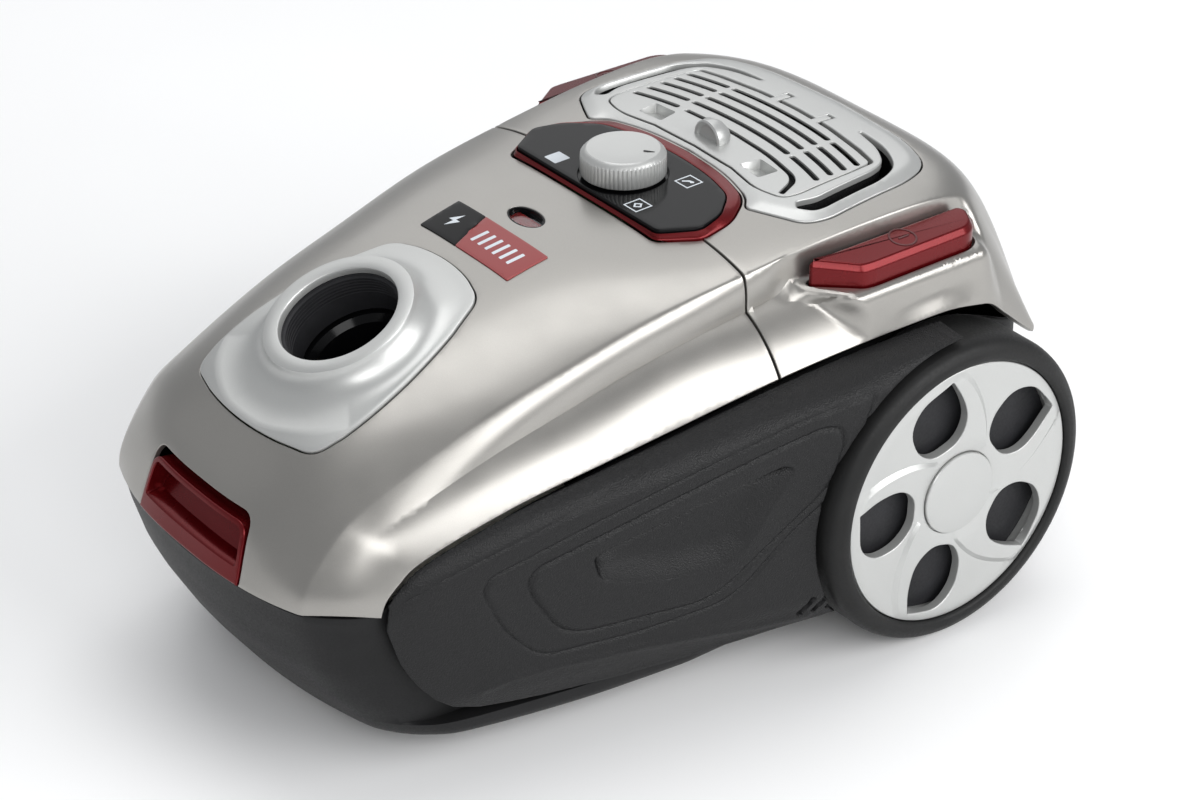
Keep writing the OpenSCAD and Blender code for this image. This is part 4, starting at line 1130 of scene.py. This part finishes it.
# ---- Base tub ------------------------------------------------------------------------
# Half outline of the rim, front to rear: x, y, rim height, forward slope, width at the sill
TUB_HALF = np.array([(0, -205.8, 93.2, 1, 0), (22, -205, 93.2, 1, 22), (41.5, -202.6, 93.2, 1, 41.5),
                     (58.5, -199, 93.2, 1, 58.5), (75, -194.4, 93.2, 0.98, 75), (87, -182.2, 93.2, 0.86, 87),
                     (94, -170, 92.6, 0.8, 96.5), (95, -150, 101, 0.5, 102), (98, -107, 119, 0.15, 108.5),
                     (102.5, -67, 126, 0, 115), (106, -21, 133, 0, 119.5), (107, 24, 138, 0, 119),
                     (107, 31, 138, 0, 107), (108, 80, 143, 0, 107), (108, 150, 138, 0, 107),
                     (106, 180, 121, 0, 105), (94, 192, 121, 0, 94), (55, 200, 121, 0, 55),
                     (0, 203, 121, 0, 0)])
NOSE_BACK = np.array([(13, 46), (16, 39), (21, 34), (24, 31.5), (40, 20), (60, 9), (80, 3), (93.2, 0),
                      (150, 0)])
SIDE_TUCK = np.array([(13, 14), (16, 8), (22, 1), (29, 0), (93, 0), (150, 0)])
SWIVEL = np.array([0.0, -124.0])
WHEEL_Y, WHEEL_Z, ARCH_R = 109.7, 75.5, 78.5
TUB_LEVELS = (13.0, 13.6, 14.6, 16, 18.5, 21, 24, 27, 28.6, 29.2, 30, 34, 38, 42, 47, 52, 57, 62, 68, 74, 80,
              85, 89)
TUB_RIM = ((0, 0.9), (0.25, 0.25), (0.9, 0), (2.1, 0), (2.75, 0.25), (3, 0.9))  # inwards, down
SWIVEL_WELL = ((36, 17), (36, 36.0), (9.2, 36.0), (9.2, 33.5), (33, 33.5), (33, 13.6), (33.6, 13))
AT_RIM = 99  # stands for the level of the rim, which rises and falls
SILL = 29.5  # below this level the tub is as wide as its sill


def tub_half_table():
    """The half outline with its nose and tail corners rounded, finely divided."""
    k = np.linspace(0, len(TUB_HALF) - 1, 181)
    rows = np.stack([np.interp(k, np.arange(len(TUB_HALF)), c) for c in TUB_HALF.T], 1)
    full = np.concatenate([rows[:0:-1] * [-1, 1, 1, 1, -1], rows, rows[-2::-1] * [-1, 1, 1, 1, -1]])
    start, soft = len(rows) - 1, full.copy()
    for _ in range(26):
        soft[1:-1] = (full[:-2] + 2 * full[1:-1] + full[2:]) / 4
        full = soft.copy()
    out = full[start : start + len(rows)]
    arch = (k > 9.5) & (k < 14)
    out[arch] = rows[arch]
    return out


TUB = tub_half_table()


def tub_row(level, wall):
    t = TUB
    after, before = np.roll(t, -1, 0), np.roll(t, 1, 0)
    after[-1], before[0] = t[-2] * [-1, 1, 1, 1, 1], t[1] * [-1, 1, 1, 1, 1]
    out = np.stack([after[:, 1] - before[:, 1], before[:, 0] - after[:, 0]], 1)
    out /= np.linalg.norm(out, axis=1)[:, None]
    z = t[:, 2] if level == AT_RIM else np.full(len(t), float(level))
    wide = t[:, 4] if level < SILL and wall == 0 else t[:, 0]
    tuck = np.interp(z, *SIDE_TUCK.T)
    x = np.maximum(wide - tuck * np.abs(out[:, 0]) - wall * out[:, 0], 0)
    rear = np.maximum(out[:, 1], 0)
    y = t[:, 1] + t[:, 3] * np.interp(z, *NOSE_BACK.T) - tuck * rear - wall * out[:, 1]
    half = np.stack([x, y, z], 1)
    return np.concatenate([half, half[-2:0:-1] * [-1, 1, 1]])


def base_tub():
    outer = [tub_row(z, 0) for z in TUB_LEVELS]
    rim = [tub_row(AT_RIM, w) - [0, 0, d] for w, d in TUB_RIM]
    inner = [tub_row(z, 3) for z in (80, 60, 40, 24, 17)]
    ring = outer[0]
    angle = np.arctan2(ring[:, 1] - SWIVEL[1], ring[:, 0] - SWIVEL[0])
    across_x, across_y = np.cos(angle), np.sin(angle)
    well = [np.stack([SWIVEL[0] + r * across_x, SWIVEL[1] + r * across_y, np.full(len(angle), z)], 1)
            for r, z in SWIVEL_WELL]
    rows = [*outer, *rim, *inner, *well, outer[0]]
    pieces = [wrap(rows), box_part((-20, -189.8, 86.8), (20, -186, 90.4), 0.6)]
    for side in (-1, 1):
        pieces.append(box_part((side * 18 - 2, -202.2, 84), (side * 18 + 2, -186, 90.4), 0.6))
        axle_boss = lathe_parts([(6.4, -4.4), (16, -4.4), (16, 4.4), (6.4, 4.4)], 48)
        pieces.append(moved(axle_boss, across((side * 104, WHEEL_Y, WHEEL_Z))))
    finish(mesh("base_tub", *joined(*pieces), 34), "chassis", "dark_plastic", "base_tub")


base_tub()


# ---- Side panels ---------------------------------------------------------------------
PANEL_REAR = 110.0
PANEL_FRONT = np.array([(-168.3, 92.8), (-167.6, 88), (-166, 82), (-162.6, 70), (-159, 62.5), (-155, 56),
                        (-149, 48.5), (-140, 41)])
PANEL_BOTTOM = np.array([(-127, 36), (-112, 33.6), (-97, 32), (-63, 30.2), (-25, 30), (5, 31), (25, 32),
                         (45, 33)])
FLAT_X = np.array([(-170, 98), (-160, 101.6), (-150, 104.8), (-129, 109.6), (-60, 123), (20, 138.3), (35, 142),
                   (50, 145), (160, 145)])
EDGE_FINE = EDGE(np.linspace(0, 12.2, 400))


def panel_top(y):
    return np.interp(y, EDGE_FINE[:, 1], EDGE_FINE[:, 2]) - 1.1


def panel_outline():
    arch_start = math.asin((33 - WHEEL_Z) / ARCH_R)
    a = np.linspace(math.pi - arch_start, math.acos((PANEL_REAR - WHEEL_Y) / ARCH_R), 60)
    arch = np.stack([WHEEL_Y + ARCH_R * np.cos(a), WHEEL_Z + ARCH_R * np.sin(a)], 1)
    y = np.linspace(PANEL_REAR, -168.3, 110)
    top = np.stack([y, panel_top(y)], 1)
    return np.concatenate([PANEL_FRONT[1:], PANEL_BOTTOM, arch[1:], top[:-1]])


BAND = np.array([(-166, 94.5), (-159, 100.5), (-141, 108), (-119, 114), (-96, 120), (-73, 127), (-50, 133),
                 (-26, 138), (-3, 142), (21, 145), (45, 149), (60, 151), (78, 153.2)])
OUTER_GROOVE = rounded([(60, 145.4), (21, 139), (-26, 128), (-73, 116), (-111, 105.5), (-123, 102), (-126, 96),
                        (-119, 78), (-110, 65), (-99, 55.5), (-54, 54), (-15, 57), (-3, 63), (18, 83), (42, 101),
                        (52, 122)], [3, 8, 8, 8, 6, 5, 7, 14, 12, 12, 12, 12, 10, 10, 10, 5], 5)
INNER_LOOP = rounded([(-2, 126), (34, 134), (42, 131.5), (44, 124), (38, 104), (18, 88), (-13, 64.5), (-25, 60.5),
                      (-80, 62), (-92, 67), (-103, 86), (-106, 95), (-101, 101), (-50, 114)],
                     [10, 5, 5, 7, 12, 10, 10, 10, 10, 10, 10, 4, 5, 10], 5)
RECESS = rounded([(-76.5, 100), (-26, 111.5), (15, 120), (20.5, 117), (-2, 83), (-14, 75.5), (-40, 76),
                  (-72, 84)], [5, 10, 4, 3, 10, 8, 12, 8], 6)
RECESS_TOP = np.array([(-75.5, 92), (-75, 99), (-26, 111), (15, 119.5)])  # its undercut edge
RECESS_FLOOR = np.array([(20.5, 115), (-2, 83), (-14, 75.5), (-40, 76), (-68, 83)])  # where it runs out level
RIDGE = np.array([(-127, 47), (-115, 49), (-92, 49), (-54, 46), (-25, 42), (5, 37), (30, 35.5)])
VENTS = [np.array([(26 + 7 * k, 38.5), (31 + 7 * k, 45.5)]) for k in range(3)]


def arch_height(y):
    inside_arch = np.abs(y - WHEEL_Y) < ARCH_R
    return np.where(inside_arch, WHEEL_Z + np.sqrt(np.maximum(ARCH_R**2 - (y - WHEEL_Y) ** 2, 0)), 0)


def close_to(q, line, width, closed=True):
    """One on the line, falling to nothing beside it."""
    return np.exp(-((distance(q, line, closed) / width) ** 2))


def panel_surface(q):
    """The side, flat below a soft shoulder, with its grooves, recess, ridge and vents."""
    y, z = q[:, 0], q[:, 1]
    top = panel_top(y)
    x = np.interp(y, EDGE_FINE[:, 1], EDGE_FINE[:, 0]) - 0.2
    shoulder = np.clip(0.9 * (top - arch_height(y)), 0.8, 11)
    d = np.clip((top - z) / shoulder, 0, 1)
    flat = np.mean([np.interp(y + s, *FLAT_X.T) for s in (-6, -3, 0, 3, 6)], axis=0) - 5 * ease(48 - z, 0, 20)
    x = x + (flat - x) * np.sqrt(1 - (1 - d) ** 2)
    x = x - 0.8 * close_to(q, OUTER_GROOVE, 0.9)
    x = x - 0.8 * close_to(q, INNER_LOOP, 0.9)
    x = x - 0.55 * close_to(q, BAND, 0.7, False)
    x = x + 0.5 * ease(depth(q, INNER_LOOP), 0, 2.5)
    d = depth(q, RECESS)
    x = x - 4.6 * (0.06 + 0.94 * ease(distance(q, RECESS_FLOOR, False), 0, 15)) * ease(d, -0.2, 1.3)
    x = x - 4.0 * ease(d, 0.2, 1.0) * close_to(q, RECESS_TOP, 2.6, False)
    x = x + 0.9 * close_to(q, RIDGE, 2.2, False)
    for vent in VENTS:
        x = x - 2.2 * ease(-distance(q, vent, False), -1.5, -0.9)
    return np.stack([x, y, z], 1)


def side_panels():
    outline = panel_outline()
    pts = [grid(outline.min(0), outline.max(0), 2.6)]
    for loop in (OUTER_GROOVE, INNER_LOOP):
        pts += [divided(grown(loop, o), 1.8) for o in (-2.4, -1.5, -0.75, 0, 0.75, 1.5, 2.4)]
    lines = beside(RECESS, (0.4, -0.2, -0.7, -1.4, -2.1, -2.9, -4.0))
    lines += beside(dense(BAND, 2.0)[2:-2], (-1.0, 0, 1.0), False)
    pts += beside(dense(RIDGE), (-3, -1.5, 0, 1.5, 3), False)
    pts += [grid(v.min(0) - 2.5, v.max(0) + 2.5, 0.7) for v in VENTS]
    y = np.linspace(-166, 108, 170)
    top = panel_top(y)
    pts += [np.stack([y, top - d], 1) for d in (0.35, 0.9, 1.7, 2.8, 4.2, 6, 8.2, 10.6)]
    pts = np.concatenate(pts)
    cell = np.round(pts / 0.62).astype(int)
    pts = pts[np.unique(cell, axis=0, return_index=True)[1]]
    flat = trimmed(pts, outline, (), 0.5, 2.0, lines)
    right = shell_parts(panel_surface, flat, 2.0, 0.5, 3)
    for name, part in (("side_panel_right", right), ("side_panel_left", mirrored(right))):
        finish(mesh(name, *part, 40), "chassis", "textured_panel", name)


side_panels()


# ---- Wheels --------------------------------------------------------------------------
def wheel_space(side):
    turn = Matrix.Rotation(math.radians(90 * side), 4, "Y")
    return Matrix.Translation((side * 150, WHEEL_Y, WHEEL_Z)) @ turn


PETALS = 5
PETAL = rounded([(26.5, -6.5), (35, -14.6), (47, -14.8), (60.3, -11), (59, 8.5), (49, 17), (35, 15.5), (26.5, 8)],
                [6, 8, 7, 0.8, 10, 10, 8, 6], 5)
PETAL_TURN = -0.31
SWIRL_TURN = math.radians(40)
SWIRL_AT = PETAL_TURN - math.radians(57)


def swirl_angle(r):
    """How far a blade's crease has turned at a radius."""
    return SWIRL_TURN * (np.maximum(r - 25, 0) / 40) ** 0.8


def rim_face(q):
    r = np.maximum(np.linalg.norm(q, axis=1), 20)
    a = np.arctan2(q[:, 1], q[:, 0])
    f = ((a - swirl_angle(r) - SWIRL_AT) * PETALS / (2 * math.pi)) % 1.0
    rise = np.where(f < 0.05, f / 0.05, (1 - f) / 0.95)
    fade = ease(r, 20, 27) * (1 - ease(r, 60, 64.5))
    return np.column_stack([q, -2.6 + 1.5 * rise * fade + 0.72 * ease(r, 52, 65)])


def wheels():
    turn = lambda p, a: p @ np.array([[math.cos(a), math.sin(a)], [-math.sin(a), math.cos(a)]])
    petals = [turn(PETAL, 2 * math.pi * k / PETALS + PETAL_TURN) for k in range(PETALS)]
    lines = []
    for k in range(PETALS):
        for f in (0.0, 0.05):
            r = np.linspace(22, 63.4, 26)
            a = swirl_angle(r) + SWIRL_AT + (k + f) * 2 * math.pi / PETALS
            lines.append(np.stack([r * np.cos(a), r * np.sin(a)], 1))
    clear_lines = []
    for line in lines:
        hit = np.zeros(len(line), bool)
        for p in petals:
            hit |= inside(line, p) | (distance(line, p) < 0.8)
        runs = np.split(np.arange(len(line)), np.flatnonzero(np.diff(hit.astype(int))) + 1)
        clear_lines += [line[run] for run in runs if not hit[run[0]] and len(run) > 2]
    cuts = [*petals, circle(0, 0, 20.4, 64)]
    face = trimmed(grid((-66, -66), (66, 66), 2.4), circle(0, 0, 64.6, 140), cuts, 0.8, 1.8, clear_lines)
    barrel = lathe_parts([(62, -35.8), (64.8, -35.8), (64.8, -3.4), (64.0, -2.6), (62, -3.4)], 140)
    collar = lathe_parts([(6.3, -34), (12, -34), (12, -9), (6.3, -9)], 48)
    hub_back = lathe_parts([(6.3, -8.4), (21.5, -8.4), (21.5, -3.2), (20.5, -3.2), (20.3, -4.2), (6.3, -4.2)], 96)
    rim = joined(shell_parts(rim_face, face, 4.6, 0.6, 4), barrel, collar, hub_back)
    tyre = rounded([(65.1, -36), (71, -36), (74.2, -34), (75.5, -30), (75.5, -7), (73.9, -2.4), (69.5, 0),
                    (66.4, 0), (65.1, -1.4)], [0.5, 1.5, 2.5, 3, 6, 3.4, 3, 1.2, 0.8], 5)
    tread = lathe_parts(tyre, 160)
    cap = lathe_parts([(0, -4.0), (20.0, -4.0), (20.1, -1.9), (19.8, -1.45), (19.2, -1.3), (12, -1.0), (0, -0.8)],
                      96, False)
    disc = lathe_parts([(12.4, -13), (61.7, -13), (61.7, -10.5), (40, -10.2), (12.4, -10.5)], 96)
    for side, word in ((1, "right"), (-1, "left")):
        at = wheel_space(side)
        body = f"wheel_{word}"
        for name, part, slot in (("tyre", tread, "tyre_rubber"), ("rim", rim, "silver_paint"),
                                 ("hub_cap", cap, "silver_paint"), ("wheel_disc", disc, "rubber")):
            node = f"{name}_{word}"
            finish(mesh(node, *moved(part, at), 30), body, slot, node)


wheels()


# ---- Dust bag ------------------------------------------------------------------------
# Height, half length across, half length along, extra forward lean of the bag's cross-sections
BAG_RINGS = np.array([(20, 30, 40, 0), (23, 56, 62, 0), (32, 71, 69, 0), (46, 78, 74, 0), (60, 81, 75, 0),
                      (82, 79, 69, 0), (98, 65, 55, 8), (108, 46, 42, 16), (117, 29, 28, 23),
                      (125.6, 27, 26, 23)])
BAG_Y, BAG_FOLDS, BAG_AROUND, BAG_UP = -92, 9, 132, 60


def bag_skin(inset):
    """The half-filled bag: bellied low down, pleated towards its mouth, with creases in the cloth."""
    a = np.linspace(0, 2 * np.pi, BAG_AROUND, endpoint=False)
    rows = []
    for k in np.linspace(0, len(BAG_RINGS) - 1, BAG_UP):
        z, wide, long, lean = [np.interp(k, np.arange(len(BAG_RINGS)), c) for c in BAG_RINGS.T]
        c, s = np.cos(a), np.sin(a)
        full = (np.abs(c) ** 3 + np.abs(s) ** 3) ** (-1 / 3)
        loose = ease(z, 24, 60) * ease(122 - z, 0, 18)
        folds = 1.8 * np.cos(BAG_FOLDS * a + 0.05 * z) + 0.9 * np.cos(17 * a - 0.09 * z + 1.3)
        creases = 1.1 * np.sin(0.22 * z + 2.2 * np.cos(3 * a)) + 0.6 * np.sin(0.41 * z - 3 * a)
        r = 1 - (inset + loose * (2.9 + folds + creases) * 0.55) / 60
        x, y = wide * full * c * r, long * full * s * r
        sag = 1.6 * loose * np.sin(2 * a + 0.7)
        rows.append(np.stack([x, BAG_Y - 0.08 * (z - 20) + y, z + sag + lean * y / max(long, 1)], 1))
    return rows


def dust_bag():
    """A bag with cloth of its own thickness, closed below and open at its mouth."""
    outer = bag_skin(0)
    inner = [r + [0, 0, 1.2 * ease(60 - r[:, 2].mean(), 0, 30)] for r in bag_skin(1.4)]
    middle = np.array([0, BAG_Y * 0.95, 0])
    floor, lining = outer[0] * [0.05, 0.05, 1] + middle, inner[0] * [0.05, 0.05, 1] + middle
    bag = mesh("dust_bag_fleece", *wrap([floor, *outer, *inner[::-1], lining], True, True), 60)
    return finish(bag, "chassis", "bag_fleece", "dust_bag")


dust_bag()


# ---- Pedal springs -------------------------------------------------------------------
SPRING_X, SPRING_Y = 106.5, 107
SPRING_FOOT, SPRING_HEAD, SPRING_PRESS = 157.0, 167.6, 4.0


def pedal_spring(node, side):
    """A coil of round wire with closed ends."""
    turns, mean, wire = 5.5, 2.9, 0.45
    t = np.linspace(0, 1, 180)
    a = 2 * np.pi * turns * t
    climb = np.interp(t, [0, 0.14, 0.86, 1], [0, 0.05, 0.95, 1])
    z = mix(SPRING_FOOT + wire, SPRING_HEAD - wire, climb)
    rows = []
    for angle, level in zip(a, z):
        ring = np.linspace(0, 2 * np.pi, 10, endpoint=False)
        r = mean + wire * np.cos(ring)
        rows.append(np.stack([side * SPRING_X + r * math.cos(angle), SPRING_Y + r * math.sin(angle),
                              level + wire * np.sin(ring)], 1))
    coil = finish(mesh(f"{node}_coil", *wrap(rows, True, True), 60), "chassis", "steel", node)
    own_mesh(coil)


pedal_spring("power_spring", 1)
pedal_spring("rewind_spring", -1)


# ---- Camera, floor and lights --------------------------------------------------------
CAMERA_AT = (1.04505, -0.7731, 0.85763)
AZIMUTH, ELEVATION = math.radians(52.858), math.radians(30.446)
FLOOR_REACH = 4000


def finish_scene():
    scene = bpy.context.scene
    back = Vector((math.sin(AZIMUTH) * math.cos(ELEVATION), -math.cos(AZIMUTH) * math.cos(ELEVATION),
                   math.sin(ELEVATION)))
    camera = bpy.data.objects.new("camera", bpy.data.cameras.new("camera"))
    camera.location = CAMERA_AT
    camera.rotation_euler = (-back).to_track_quat("-Z", "Y").to_euler()
    camera.data.lens = 97.82
    camera.data.sensor_width = 36
    scene.collection.objects.link(camera)
    scene.camera = camera
    corners = [(x * FLOOR_REACH, y * FLOOR_REACH, 0) for x, y in ((-1, -1), (1, -1), (1, 1), (-1, 1))]
    floor = mesh("floor", corners, [(0, 1, 2, 3)])
    m, t, s, at = material("floor", (0.93, 0.93, 0.93), 0.6)
    tint(t, s, noise(t, at, 3, 2.0), (0.92, 0.92, 0.92), (0.95, 0.95, 0.95))
    floor.data.materials.append(m)
    softboxes = [
        # name, towards (x, y, z), distance, width, height, power
        ("key_right_rear", (0.83, 0.36, 0.50), 2.2, 1.9, 1.2, 34),
        ("overhead", (-0.18, 0.1, 0.95), 2.0, 1.5, 1.1, 12),
        ("front_left", (-0.75, -0.62, 0.45), 2.4, 1.3, 1.2, 0.6),
        ("front_right", (0.72, -0.46, 0.52), 2.5, 1.4, 1.0, 20),
        ("back_left", (-0.69, 0.40, 0.62), 2.4, 2.6, 1.8, 13),
    ]
    for name, towards, far, width, height, power in softboxes:
        light = bpy.data.lights.new(name, "AREA")
        light.shape = "RECTANGLE"
        light.size, light.size_y, light.energy = width, height, power
        o = bpy.data.objects.new(name, light)
        d = Vector(towards).normalized()
        o.location = Vector((0, 0, 0.1)) + d * far
        o.rotation_euler = d.to_track_quat("Z", "Y").to_euler()
        scene.collection.objects.link(o)
    world = bpy.data.worlds.new("studio")
    world.use_nodes = True
    world.node_tree.nodes["Background"].inputs["Color"].default_value = (0.9, 0.92, 0.95, 1)
    world.node_tree.nodes["Background"].inputs["Strength"].default_value = 0.42
    scene.world = world
    scene.view_settings.view_transform = "Standard"


# CAD nodes that stay on show take a finish by material slot
for part in frame["record"]["subparts"]:
    node = frame["nodes"].get(part["node"])
    if node is not None and not node.hide_render:
        node.data.materials.clear()
        node.data.materials.append(M[part["material_slot"]])
finish_scene()
